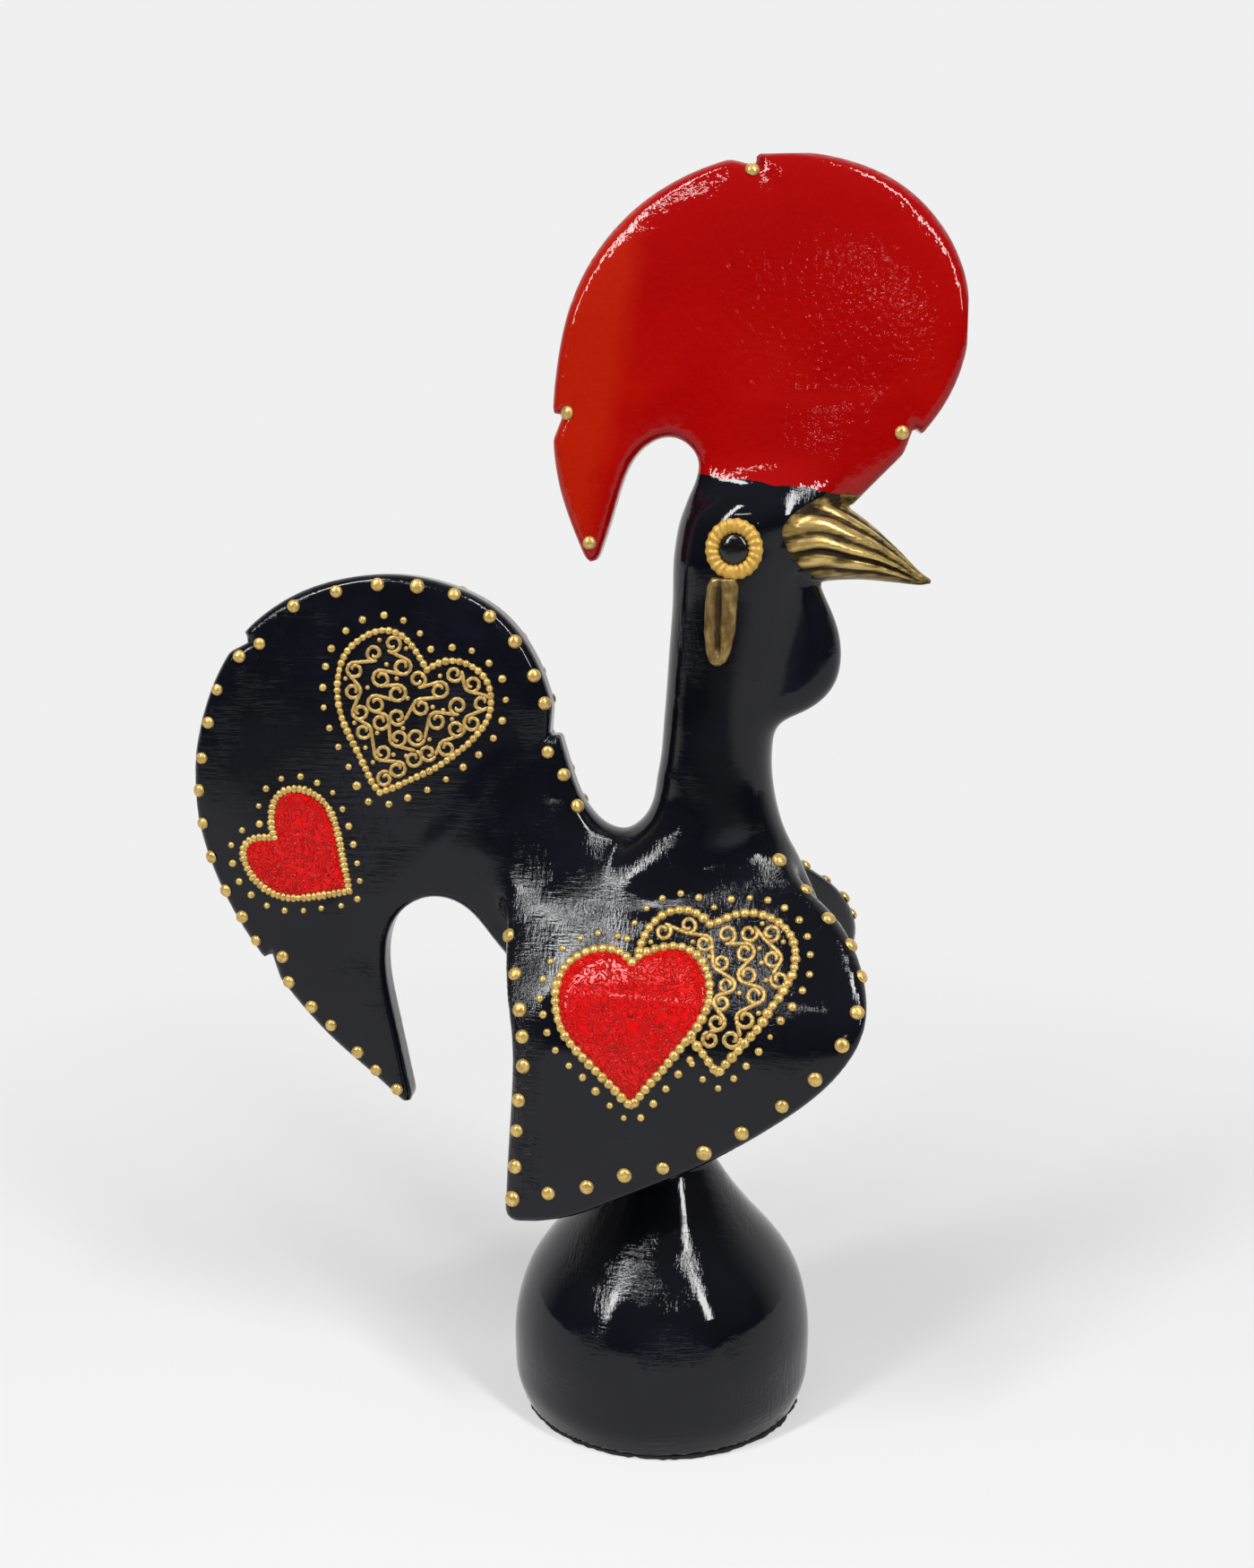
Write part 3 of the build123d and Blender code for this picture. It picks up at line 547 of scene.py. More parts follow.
# The field's surface
def surface_net(low, high, step, coarse=4, at_once=200000):
    """Quads on the zero level of the field, one point for each grid cell that it crosses."""
    n = [int(math.ceil((high[c] - low[c]) / step)) + 1 for c in range(3)]
    axes = [low[c] + step * np.arange(n[c]) for c in range(3)]
    pads = [int(math.ceil(k / coarse)) for k in n]
    blocks = [low[c] + step * (np.arange(pads[c]) * coarse + (coarse - 1) / 2) for c in range(3)]
    coarse_f = field(np.stack(np.meshgrid(*blocks, indexing="ij"), -1).reshape(-1, 3)).reshape(pads)

    def spread(a):
        return a.repeat(coarse, 0).repeat(coarse, 1).repeat(coarse, 2)[:n[0], :n[1], :n[2]]

    near = spread(np.abs(coarse_f) < step * coarse * 2.2)
    f = np.where(spread(coarse_f < 0), -9.0, 9.0)
    idx = np.argwhere(near)
    pts = np.stack([axes[c][idx[:, c]] for c in range(3)], 1)
    f[near] = np.concatenate([field(pts[s:s + at_once]) for s in range(0, len(pts), at_once)])
    inside = f < 0
    total = np.zeros([k - 1 for k in n] + [3])
    count = np.zeros([k - 1 for k in n])
    quads = []
    cell_id = np.arange(total[..., 0].size).reshape(count.shape)
    for axis in range(3):
        a = [slice(None)] * 3
        b = [slice(None)] * 3
        a[axis], b[axis] = slice(0, -1), slice(1, None)
        cross = inside[tuple(a)] != inside[tuple(b)]
        where = np.argwhere(cross)
        fa, fb = f[tuple(a)][cross], f[tuple(b)][cross]
        s = fa / (fa - fb)
        spot = np.stack([axes[c][where[:, c]] for c in range(3)], 1)
        spot[:, axis] += s * step
        o1, o2 = [c for c in range(3) if c != axis]
        cells = []
        for d1, d2 in ((-1, -1), (0, -1), (0, 0), (-1, 0)):
            cell = where.copy()
            cell[:, o1] += d1
            cell[:, o2] += d2
            cells.append(cell)
        ok = np.all([(c >= 0).all(1) & (c < np.array(count.shape)).all(1) for c in cells], axis=0)
        for cell in cells:
            c = cell[ok]
            np.add.at(total, tuple(c.T), spot[ok])
            np.add.at(count, tuple(c.T), 1)
        q = np.stack([cell_id[tuple(c[ok].T)] for c in cells], 1)
        flip = (fa[ok] > 0) ^ (axis == 1)
        q[flip] = q[flip][:, ::-1]
        quads.append(q)
    quads = np.concatenate(quads)
    used, inverse = np.unique(quads, return_inverse=True)
    verts = (total.reshape(-1, 3)[used] / count.reshape(-1)[used][:, None])
    return verts, inverse.reshape(-1, 4)


def slope(p, of=field, e=0.05):
    """How fast a field changes along x, y and z."""
    out = np.empty_like(p)
    for c in range(3):
        d = np.zeros(3)
        d[c] = e
        out[:, c] = (of(p + d) - of(p - d)) / (2 * e)
    return out


def onto_surface(p, rounds):
    """Moves points along the slope until they lie on the clay."""
    for _ in range(rounds):
        g = slope(p)
        gg = np.maximum((g * g).sum(1), 0.05)
        p = p - np.clip(field(p) / gg, -0.8, 0.8)[:, None] * g
    return p


def relax(verts, quads, share):
    """Moves each point towards the middle of its neighbours, along the surface only."""
    total = np.zeros_like(verts)
    count = np.zeros(len(verts))
    for a, b in ((0, 1), (1, 2), (2, 3), (3, 0)):
        for here, there in ((a, b), (b, a)):
            np.add.at(total, quads[:, here], verts[quads[:, there]])
            np.add.at(count, quads[:, here], 1)
    move = total / np.maximum(count, 1)[:, None] - verts
    g = unit(slope(verts))
    move -= (move * g).sum(1)[:, None] * g
    return verts + share * move


STEP = 1.15
NET_LOW, NET_HIGH = (-112, -46, -2), (74, 46, 284)
verts, quads = surface_net(NET_LOW, NET_HIGH, STEP)
verts = onto_surface(verts, 2)
for _ in range(3):
    verts = relax(verts, quads, 0.6)
    verts = onto_surface(verts, 1)

# Which piece each face belongs to
CROWN_TILT = math.radians(7.5)
CROWN_LINE_AT = (24.19, 210.0)
CHEEK_DEPTH = -9.0
BEAK_LOOP_END = 80.0


def crown_side(p):
    """Above the painted line between head and comb, with the small waver of a brush."""
    along, up = p[:, 0] - CROWN_LINE_AT[0], p[:, 2] - CROWN_LINE_AT[1]
    line = along * math.sin(CROWN_TILT) + up * math.cos(CROWN_TILT)
    return line + 0.25 * np.sin(p[:, 0] * 0.55 + 1.0) + 0.12 * np.sin(p[:, 0] * 1.3 + p[:, 1] * 0.4)


# The edge of the beak's gold, read from its top round the cheek to the throat
BEAK_EDGE = in_frame([
    (1120, 240), (1010, 240), (900, 255), (805, 300), (720, 355), (672, 405), (652, 450), (664, 505),
    (690, 570), (738, 632), (800, 688), (850, 722), (900, 752)], HEAD_PIC)
beak_edge = []
for pixel in BEAK_EDGE:
    way = pixel_ray(*pixel)
    spot = CAM_MM + way * ((CHEEK_DEPTH - CAM_MM.y) / way.y)
    beak_edge.append((spot.x, spot.z))
beak_end = [(BEAK_LOOP_END, beak_edge[-1][1]), (BEAK_LOOP_END, beak_edge[0][1])]
beak_flat = flat_of(np.concatenate([spline(beak_edge, 0.3), beak_end]), (14, 176), (72, 222))


def beak_side(p):
    return beak_flat(p[:, 0], p[:, 2])


def snap(verts, quads, side, mask):
    """Moves the points along a boundary onto it, so that the painted edge is clean."""
    middle = side(verts[quads].mean(1)) > 0
    touched = np.zeros((2, len(verts)), bool)
    touched[0, quads[middle].ravel()] = True
    touched[1, quads[~middle].ravel()] = True
    edge = touched.all(0) & mask(verts)
    p = verts[edge]
    for _ in range(4):
        s, g, n = side(p), slope(p, side), unit(slope(p))
        g -= (g * n).sum(1)[:, None] * n
        gg = np.maximum((g * g).sum(1), 0.05)
        p = onto_surface(p - np.clip(s / gg, -0.7, 0.7)[:, None] * g, 1)
    verts[edge] = p
    return verts


def within(p, start, low, high, half=50.0):
    """Which points are in front of start, between two heights and no further out than half."""
    return (p[:, 0] > start) & (p[:, 2] > low) & (p[:, 2] < high) & (np.abs(p[:, 1]) < half)


BEAK_FROM, WATTLE_FROM, COMB_FROM, COMB_REAR = 16.0, 150.0, 180.0, 2.0
verts = snap(verts, quads, beak_side, lambda p: within(p, BEAK_FROM, 184, 214))
verts = snap(verts, quads, crown_side, lambda p: within(p, 0, 200, 222, half=20))

centre = verts[quads].mean(1)
stack_d, tail_d, wing_d, comb_d, wattle_d, _ = parts_fields(centre)
label = np.full(len(quads), "body", dtype=object)
label[centre[:, 2] < BELL_TOP] = "bell"
label[tail_d < stack_d] = "tail"
wing_near = (wing_d < stack_d) & (wing_d < tail_d)
label[wing_near & (centre[:, 1] < 0)] = "wing_right"
label[wing_near & (centre[:, 1] >= 0)] = "wing_left"
label[(wattle_d < stack_d) & (centre[:, 2] > WATTLE_FROM)] = "wattle"
above = (crown_side(centre) > 0) | ((comb_d < stack_d) & (comb_d < tail_d) & (centre[:, 0] < COMB_REAR))
label[above & (centre[:, 2] > COMB_FROM)] = "comb"
label[(beak_side(centre) <= 0) & (centre[:, 0] > BEAK_FROM) & (crown_side(centre) <= 0)] = "beak"

# The skin stays just inside the solids' box
box_low, box_high = np.array(cad_box[0]) * TO_MM + 0.01, np.array(cad_box[1]) * TO_MM - 0.01
verts = np.clip(verts, box_low, box_high)
normals = unit(slope(verts))


def make_object(name, points, faces, material, normal=None):
    """A smooth mesh object from points in millimetres."""
    mesh = bpy.data.meshes.new(name)
    points = np.clip(np.asarray(points), box_low, box_high) * MM
    mesh.from_pydata([tuple(v) for v in points], [], [tuple(int(i) for i in f) for f in faces])
    mesh.validate()
    mesh.polygons.foreach_set("use_smooth", [True] * len(mesh.polygons))
    if normal is not None:
        mesh.normals_split_custom_set_from_vertices([tuple(n) for n in normal])
    obj = bpy.data.objects.new(name, mesh)
    bpy.context.scene.collection.objects.link(obj)
    mesh.materials.append(material)
    return obj


def refined(points, faces):
    """Each face in four, with the new points on the clay, but on the border left on its straight edges."""
    ends = np.sort(np.stack([faces, np.roll(faces, -1, axis=1)], -1).reshape(-1, 2), axis=1)
    pairs, back, times = np.unique(ends, axis=0, return_inverse=True, return_counts=True)
    back = back.reshape(faces.shape)
    middles = points[pairs].mean(1)
    inner = times > 1
    middles[inner] = onto_surface(middles[inner], 2)
    centres = onto_surface(points[faces].mean(1), 2)
    first, middle = len(points), len(points) + len(middles) + np.arange(len(faces))
    out = [np.stack([faces[:, k], first + back[:, k], middle, first + back[:, k - 1]], 1) for k in range(4)]
    return np.concatenate([points, middles, centres]), np.concatenate(out)


def piece_of(name, part, material, levels=0):
    """The skin's faces with one label as an object, refined so many times."""
    used, inverse = np.unique(quads[label == part], return_inverse=True)
    points, faces = verts[used], inverse.reshape(-1, 4)
    for _ in range(levels):
        points, faces = refined(points, faces)
    return make_object(name, points, faces, material, unit(slope(points)))


def write_painted_shading(obj, darkness):
    """Stores how dark the gold is at each point, for the material: painted shade and painted highlight that
    follow the modelled grooves and ridges.
    """
    layer = obj.data.attributes.new("darkness", "FLOAT", "POINT")
    layer.data.foreach_set("value", np.clip(darkness, 0, 1).astype(np.float32))


def place(obj, slot, *nodes):
    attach(obj, "root")
    if nodes:
        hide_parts(*nodes)


# Materials
class Nodes:
    """Shader nodes added to one tree."""

    def __init__(self, tree):
        self.tree = tree
        tree.nodes.clear()

    def node(self, kind, **values):
        """A new node, with its settings and inputs given by name."""
        n = self.tree.nodes.new(kind)
        for key, value in values.items():
            if hasattr(n, key):
                setattr(n, key, value)
            else:
                self.feed(n.inputs[key.replace("_", " ")], value)
        return n

    def link(self, a, b):
        self.tree.links.new(a, b)

    def feed(self, socket, value):
        """Gives an input a number, a vector, a colour or another node's output."""
        if isinstance(value, tuple) and socket.type == "RGBA":
            socket.default_value = (*value, 1.0)
        elif isinstance(value, (int, float, tuple)):
            socket.default_value = value
        else:
            self.link(value, socket)

    def mapped(self, scale, lean):
        """The object's coordinates scaled, and leaned by degrees as seen from the side."""
        turn = (0, math.radians(lean), 0)
        return self.node("ShaderNodeMapping", Vector=self.coord, Scale=scale, Rotation=turn).outputs[0]

    def noise(self, scale, detail, rough, vector=None, distortion=0.0):
        n = self.node("ShaderNodeTexNoise", Vector=self.coord if vector is None else vector, Scale=scale,
                      Detail=detail, Roughness=rough, Distortion=distortion)
        return n.outputs["Fac"]

    def range(self, value, a, b, c, d):
        """The value's stretch from a to b, carried over to c to d."""
        n = self.node("ShaderNodeMapRange", Value=value, From_Min=a, From_Max=b, To_Min=c, To_Max=d)
        return n.outputs[0]

    def parts_of(self, vector):
        n = self.node("ShaderNodeSeparateXYZ", Vector=vector)
        return n.outputs[0], n.outputs[1], n.outputs[2]

    def math(self, op, a, b):
        n = self.node("ShaderNodeMath", operation=op)
        self.feed(n.inputs[0], a)
        self.feed(n.inputs[1], b)
        return n.outputs[0]

    def times(self, a, b):
        return self.math("MULTIPLY", a, b)

    def plus(self, a, b):
        return self.math("ADD", a, b)

    def mix(self, fac, a, b):
        """A colour between two."""
        n = self.node("ShaderNodeMix", data_type="RGBA")
        self.feed(n.inputs["Factor"], fac)
        for key, value in (("A", a), ("B", b)):
            self.feed([s for s in n.inputs if s.name == key and s.type == "RGBA"][0], value)
        return [s for s in n.outputs if s.type == "RGBA"][0]

    def ramp(self, value, stops):
        n = self.node("ShaderNodeValToRGB", Fac=value)
        while len(n.color_ramp.elements) < len(stops):
            n.color_ramp.elements.new(0.5)
        for e, (at, colour) in zip(n.color_ramp.elements, stops):
            e.position = at
            e.color = (*colour, 1.0)
        return n.outputs["Color"]

    def bump(self, height, distance, strength, before=None):
        n = self.node("ShaderNodeBump", Height=height, Distance=distance, Strength=strength)
        if before is not None:
            self.link(before, n.inputs["Normal"])
        return n.outputs[0]

    def shared(self, fac, a, b, out):
        """Two surfaces mixed into the tree's output."""
        n = self.node("ShaderNodeMixShader")
        for socket, value in zip(n.inputs, (fac, a.outputs[0], b.outputs[0])):
            self.link(value, socket)
        self.link(n.outputs[0], out.inputs["Surface"])


class Shader(Nodes):
    """A material with one main surface node."""

    def __init__(self, name):
        self.mat = bpy.data.materials.new(name)
        self.mat.use_nodes = True
        super().__init__(self.mat.node_tree)
        self.out = self.node("ShaderNodeOutputMaterial")
        self.bsdf = self.node("ShaderNodeBsdfPrincipled")
        self.link(self.bsdf.outputs[0], self.out.inputs["Surface"])
        self.coord = self.node("ShaderNodeTexCoord").outputs["Object"]

    def set(self, **values):
        for key, value in values.items():
            self.feed(self.bsdf.inputs[key.replace("_", " ")], value)

    def coated(self, colour, weight, rough, ior):
        """A ground without any shine of its own, under a clear coat."""
        self.set(Base_Color=colour, Roughness=0.5, Specular_IOR_Level=0.0)
        self.set(Coat_Weight=weight, Coat_Roughness=rough, Coat_IOR=ior)

    def finished(self, bump, coat=False):
        """The material, with a bump on its surface and perhaps on its coat."""
        self.link(bump, self.bsdf.inputs["Normal"])
        if coat:
            self.link(bump, self.bsdf.inputs["Coat Normal"])
        return self.mat


def black_lacquer():
    """Black lacquer over a crosswise brushed ground, brushed most down the wings' rear."""
    s = Shader("black_lacquer")
    tint = s.range(s.noise(60, 4, 0.6), 0.3, 0.7, 0, 1)
    s.coated(s.mix(tint, (0.0022, 0.0024, 0.0038), (0.0042, 0.0046, 0.0084)), 1.0, 0.045, 1.37)
    across = s.noise(1.0, 3, 0.65, s.mapped((160, 500, 1250), 7))
    down = s.noise(1.0, 3, 0.65, s.mapped((1250, 500, 160), -5))
    patch = s.range(s.noise(110, 2, 0.5), 0.40, 0.60, 0.15, 0.85)
    strokes = s.plus(s.times(across, patch), s.times(down, s.math("SUBTRACT", 1.0, patch)))
    x, _, z = s.parts_of(s.coord)
    rear = s.times(s.range(x, -0.0225, -0.0275, 0, 1), s.range(x, -0.040, -0.034, 0, 1))
    rear = s.times(rear, s.times(s.range(z, 0.118, 0.108, 0, 1), s.range(z, 0.050, 0.060, 0, 1)))
    force = s.plus(s.range(s.noise(48, 3, 0.6), 0.46, 0.62, 0.05, 0.6), s.times(rear, 1.1))
    swell = s.bump(s.noise(150, 2, 0.5), 0.0005, 0.07)
    return s.finished(s.bump(strokes, 0.0004, force, swell), coat=True)


def red_enamel():
    """Deep red enamel, with a painted reflection: a lighter, more orange band along the rear lobe."""
    s = Shader("red_enamel")
    x, _, z = s.parts_of(s.coord)
    lean = s.plus(x, s.times(s.noise(60, 3, 0.6), 0.010))
    # Painted reflection: the lighter orange band along the comb's rear lobe.
    rear = s.range(s.math("SUBTRACT", lean, s.times(z, 0.20)), -0.049, -0.054, 0, 1)
    cloud = s.range(s.noise(34, 3, 0.6), 0.45, 0.72, 0, 1)
    low = s.times(cloud, s.range(z, 0.250, 0.215, 0, 0.8))
    depth = s.range(s.noise(20, 2, 0.5), 0.35, 0.65, 0, 1)
    colour = s.mix(depth, (0.270, 0.0008, 0.0008), (0.300, 0.0010, 0.0008))
    colour = s.mix(low, colour, (0.40, 0.007, 0.0012))
    s.coated(s.mix(s.times(rear, 0.8), colour, (0.35, 0.0105, 0.0014)), 0.9, 0.06, 1.37)
    grain = s.bump(s.noise(560, 2, 0.55), 0.00028, 0.5)
    return s.finished(s.bump(s.noise(140, 2, 0.5), 0.0004, 0.10, grain), coat=True)


def gold(name, bright, dark, rough=(0.28, 0.48), darkness=0.45, fine=900, metal=0.5):
    """Gold paint, darker where it's rubbed, and darkened in its hollows as painted shade."""
    s = Shader(name)
    rub = s.range(s.noise(fine, 3, 0.6), 0.32, 0.68, 0, 1)
    # Painted shade: the gold darkens where its surface is hollow, between beads and at their feet.
    hollow = s.range(s.node("ShaderNodeNewGeometry").outputs["Pointiness"], 0.44, 0.52, 1, 0)
    s.set(Base_Color=s.mix(s.math("MAXIMUM", s.times(rub, darkness), hollow), bright, dark), Metallic=metal,
          Roughness=s.range(s.noise(fine * 1.3, 2, 0.5), 0.3, 0.7, *rough))
    return s.finished(s.bump(s.noise(fine * 1.6, 2, 0.5), 0.00012, 0.5))


def shaded_worn_gold(name, bright, middle, dark, along, metal=0.7):
    """Antique gold, rubbed in random patches, and darker where the stored darkness says: painted shade in
    grooves and hollows, painted highlight on ridges.
    """
    s = Shader(name)
    darkness = s.node("ShaderNodeAttribute", attribute_name="darkness").outputs["Fac"]
    grain = s.noise(1.0, 4, 0.6, s.mapped(along, -26))
    blotch = s.range(s.noise(260, 3, 0.6), 0.35, 0.65, -0.12, 0.22)
    total = s.plus(s.plus(darkness, blotch), s.range(grain, 0.35, 0.65, -0.22, 0.30))
    s.set(Base_Color=s.ramp(total, [(0.10, bright), (0.45, middle), (0.90, dark)]), Metallic=metal,
          Roughness=s.range(total, 0.1, 0.9, 0.24, 0.50))
    return s.finished(s.bump(grain, 0.00030, 0.5))


def red_relief():
    """Red relief paint, dried in small wormy wrinkles, with painted shade darkening their creases."""
    s = Shader("red_relief")
    vein = s.math("ABSOLUTE", s.math("SUBTRACT", s.noise(520, 1, 0.4, distortion=2.0), 0.5), 0.0)
    # Painted shade: darker red down in the wrinkles' creases.
    crease_shade = s.range(vein, 0.0, 0.06, 1, 0)
    s.coated(s.mix(crease_shade, (0.58, 0.0030, 0.0030), (0.22, 0.0006, 0.0008)), 0.5, 0.12, 1.4)
    return s.finished(s.bump(s.range(vein, 0.0, 0.11, 0, 1), 0.00030, 0.8), coat=True)


def plain(name, colour, rough, scale=300):
    """One colour, a little darker in patches."""
    s = Shader(name)
    patches = s.range(s.noise(scale, 3, 0.6), 0.3, 0.7, 0, 1)
    s.set(Base_Color=s.mix(patches, tuple(c * 0.7 for c in colour), colour), Roughness=rough)
    return s.finished(s.bump(s.noise(scale * 2, 2, 0.5), 0.0002, 0.4))


LACQUER = black_lacquer()
ENAMEL = red_enamel()
BEAD_GOLD = gold("bead_gold", (0.72, 0.49, 0.15), (0.16, 0.085, 0.018), (0.22, 0.4), 0.6)
SCROLL_GOLD = gold("scroll_gold", (0.64, 0.43, 0.14), (0.15, 0.08, 0.018), darkness=0.65)
RING_GOLD = gold("ring_gold", (0.62, 0.37, 0.060), (0.26, 0.13, 0.018), (0.34, 0.5), 0.55, 700, 0.25)
LOBE_GOLD = shaded_worn_gold(
    "lobe_gold", (0.40, 0.28, 0.10), (0.20, 0.125, 0.035), (0.035, 0.018, 0.005), (400, 600, 160), 0.55)
BEAK_GOLD = shaded_worn_gold(
    "beak_gold", (0.62, 0.44, 0.15), (0.30, 0.20, 0.055), (0.030, 0.017, 0.004), (90, 700, 1000))
RED_RELIEF = red_relief()
EYE_BLACK = plain("eye_gloss", (0.004, 0.004, 0.0045), 0.16)
FELT = plain("felt", (0.012, 0.012, 0.012), 0.95, 1400)

# The clay pieces
skin_tree = BVHTree.FromPolygons([tuple(v) for v in verts], [tuple(int(i) for i in q) for q in quads])

for name, part, material, slot, *nodes in [
        ("bell_skin", "bell", LACQUER, "black_lacquer", "base_bell"),
        ("body_skin", "body", LACQUER, "black_lacquer", "body_right", "body_left"),
        ("tail_skin", "tail", LACQUER, "black_lacquer", "tail"),
        ("wing_skin_right", "wing_right", LACQUER, "black_lacquer", "wing_right"),
        ("wing_skin_left", "wing_left", LACQUER, "black_lacquer", "wing_left"),
        ("comb_skin", "comb", ENAMEL, "red_enamel", "comb"),
        ("wattle_skin", "wattle", LACQUER, "black_lacquer", "wattle")]:
    place(piece_of(name, part, material), slot, *nodes)

beak_piece = piece_of("beak_skin", "beak", BEAK_GOLD, 2)
place(beak_piece, "antique_gold", "beak")
beak_spots = np.empty(len(beak_piece.data.vertices) * 3)
beak_piece.data.vertices.foreach_get("co", beak_spots)
beak_spots = beak_spots.reshape(-1, 3) * TO_MM
beak_cuts = beak_grooves(beak_spots, *beak_section(beak_spots))
# Painted shade in the beak's grooves and painted highlight on its ridges, and darker along the edge of the
# gold.
write_painted_shading(beak_piece, 0.35 + 1.6 * beak_cuts + 0.5 * np.exp(-np.abs(beak_side(beak_spots)) / 0.8))


# Relief paint
def grid_faces(rows, cols, round_rows=False, round_cols=False, turned=False):
    """Quads between rows of points, perhaps closed round either way."""
    faces = []
    for i in range(rows if round_rows else rows - 1):
        for k in range(cols if round_cols else cols - 1):
            i2, k2 = (i + 1) % rows, (k + 1) % cols
            a, b, c, d = i * cols + k, i * cols + k2, i2 * cols + k2, i2 * cols + k
            faces.append((a, d, c, b) if turned else (a, b, c, d))
    return faces


def capped_faces(rows, cols):
    """Quads round a cap, closed by triangles on the one point at its top."""
    last = (rows - 1) * cols
    top = [(last + k, last + (k + 1) % cols, last + cols) for k in range(cols)]
    return grid_faces(rows, cols, round_cols=True) + top


class Build:
    """Points and faces gathered for one object."""

    def __init__(self):
        self.v, self.f = [], []

    def add(self, points, faces):
        base = len(self.v)
        self.v.extend(points)
        self.f.extend([tuple(i + base for i in f) for f in faces])

    def both(self, name, material, slot, *nodes):
        """Makes the right side's object and its mirror image on the left."""
        pts = np.array(self.v)
        right = make_object(name + "_right", pts, self.f, material)
        place(right, slot, *[n + "_right" for n in nodes])
        left = make_object(name + "_left", pts * np.array([1, -1, 1]), [f[::-1] for f in self.f], material)
        place(left, slot, *[n + "_left" for n in nodes])
        return right, left


def facing(spot, face):
    """The clay's own direction at a spot, blended from the face's corners."""
    corners = quads[face]
    weight = 1 / (((verts[corners] - spot) ** 2).sum(1) + 0.02)
    n = weight @ normals[corners]
    return n / np.linalg.norm(n)


def nearest(spot):
    """The clay's point nearest to a spot, and which way it faces."""
    hit, _, face, _ = skin_tree.find_nearest(Vector(spot))
    return np.array(hit), facing(np.array(hit), face)


# A line that misses the clay is seated on the nearest clay to where it passes this depth
MISSED_DEPTH = -6.0


def seat_pixel(px, py):
    """Where the camera's line through a pixel meets the clay, and which way the clay faces there."""
    way = pixel_ray(px, py)
    hit, _, face, _ = skin_tree.ray_cast(CAM_MM, way)
    if hit is None:
        return nearest(CAM_MM + way * ((MISSED_DEPTH - CAM_MM.y) / way.y))
    return np.array(hit), facing(np.array(hit), face)


def seat_line(pixels):
    spots, ns = zip(*[seat_pixel(*p) for p in pixels])
    return np.array(spots), np.array(ns)


def axes_on(n, along=(1.0, 0.2, 0.1)):
    """Two directions square to each other on the clay, the first as near as can be to along."""
    a = np.array(along, float)
    a = unit(a - n * a.dot(n))
    return a, np.cross(n, a)


SUNK_DOME, SUNK_TRAIL, SUNK_EDGE = 0.12, 0.2, 0.15


def dome(build, spot, n, radius, height, peak=0.0, sides=14, rings=5, along=(1.0, 0.2, 0.1), stretch=1.0):
    """A drop of relief paint: round, standing up from a tight edge, with a small peak."""
    a, b = axes_on(n, along)
    pts = []
    for r in range(rings):
        t = r / rings
        rad = radius * math.cos(t * math.pi / 2) ** 0.75
        h = height * math.sin(t * math.pi / 2) - (SUNK_DOME if r == 0 else 0)
        for k in range(sides):
            w = 2 * math.pi * k / sides
            pts.append(spot + (a * math.cos(w) * stretch + b * math.sin(w)) * rad + n * h)
    pts.append(spot + n * (height + peak))
    build.add(pts, capped_faces(rings, sides))


TRAIL_ENDS = 2.5
arch = [(math.cos(w), math.sin(w)) for w in np.linspace(0, math.pi, 7)]
TRAIL_SHAPE = [(arch[0][0], -SUNK_TRAIL)] + arch[1:-1] + [(arch[-1][0], -SUNK_TRAIL)]


def trail(build, line, normal, radius, height, closed=False, swell=None):
    """A line of relief paint laid along points on the clay, half round, thicker where swell says."""
    k = len(line)
    pts = []
    for i in range(k):
        before = line[(i - 1) % k] if closed or i > 0 else line[i]
        after = line[(i + 1) % k] if closed or i < k - 1 else line[i]
        side = unit(np.cross(normal[i], unit(after - before)))
        size = 1.0 if swell is None else swell[i]
        to_end = min(i, k - 1 - i) / TRAIL_ENDS
        if not closed and to_end < 1:
            size *= min(1.0, math.sqrt(max(1 - (1 - to_end) ** 2, 0.05)))
        for c, h in TRAIL_SHAPE:
            pts.append(line[i] + side * (c * radius * size) + normal[i] * (h * height * size))
    build.add(pts, grid_faces(k, len(TRAIL_SHAPE), round_rows=closed))


def dots_at(name, pixels, radius, node):
    """Rows of large dots, placed along the edges."""
    build = Build()
    for pixel in pixels:
        spot, n = seat_pixel(*pixel)
        r = radius * (1 + 0.06 * rng.standard_normal())
        dome(build, spot, n, r, r * 0.62, peak=0.08, sides=18, rings=6)
    build.both(name, BEAD_GOLD, "antique_gold", node)


dots_at("comb_beads", [(840, 189), (633, 461), (1007, 483), (658, 606)], 1.55, "comb_dots")
dots_at("tail_beads", in_frame([
    (323, 143), (443, 102), (560, 82), (672, 87), (777, 109), (877, 172), (948, 243), (1002, 339),
    (1032, 417), (1041, 555), (1086, 619), (1125, 707), (227, 249), (170, 285), (107, 379), (82, 472),
    (64, 572), (56, 663), (67, 756), (91, 851), (132, 946), (178, 1020), (217, 1087), (292, 1133),
    (310, 1204), (374, 1274), (429, 1326), (504, 1402), (556, 1453),
    (615, 1507)], TAIL_EDGE_PIC), 1.5, "tail_dots")
dots_at("wing_beads", [
    (870, 960), (900, 993), (925, 1025), (950, 1055), (962, 1090), (957, 1130), (940, 1167), (910, 1205),
    (873, 1235), (828, 1265), (786, 1287), (740, 1304), (697, 1312), (655, 1325), (612, 1332), (572, 1338),
    (575, 1302), (577, 1262), (579, 1228), (584, 1190), (583, 1157), (580, 1127), (575, 1087),
    (568, 1044)], 1.55, "wing_dots")
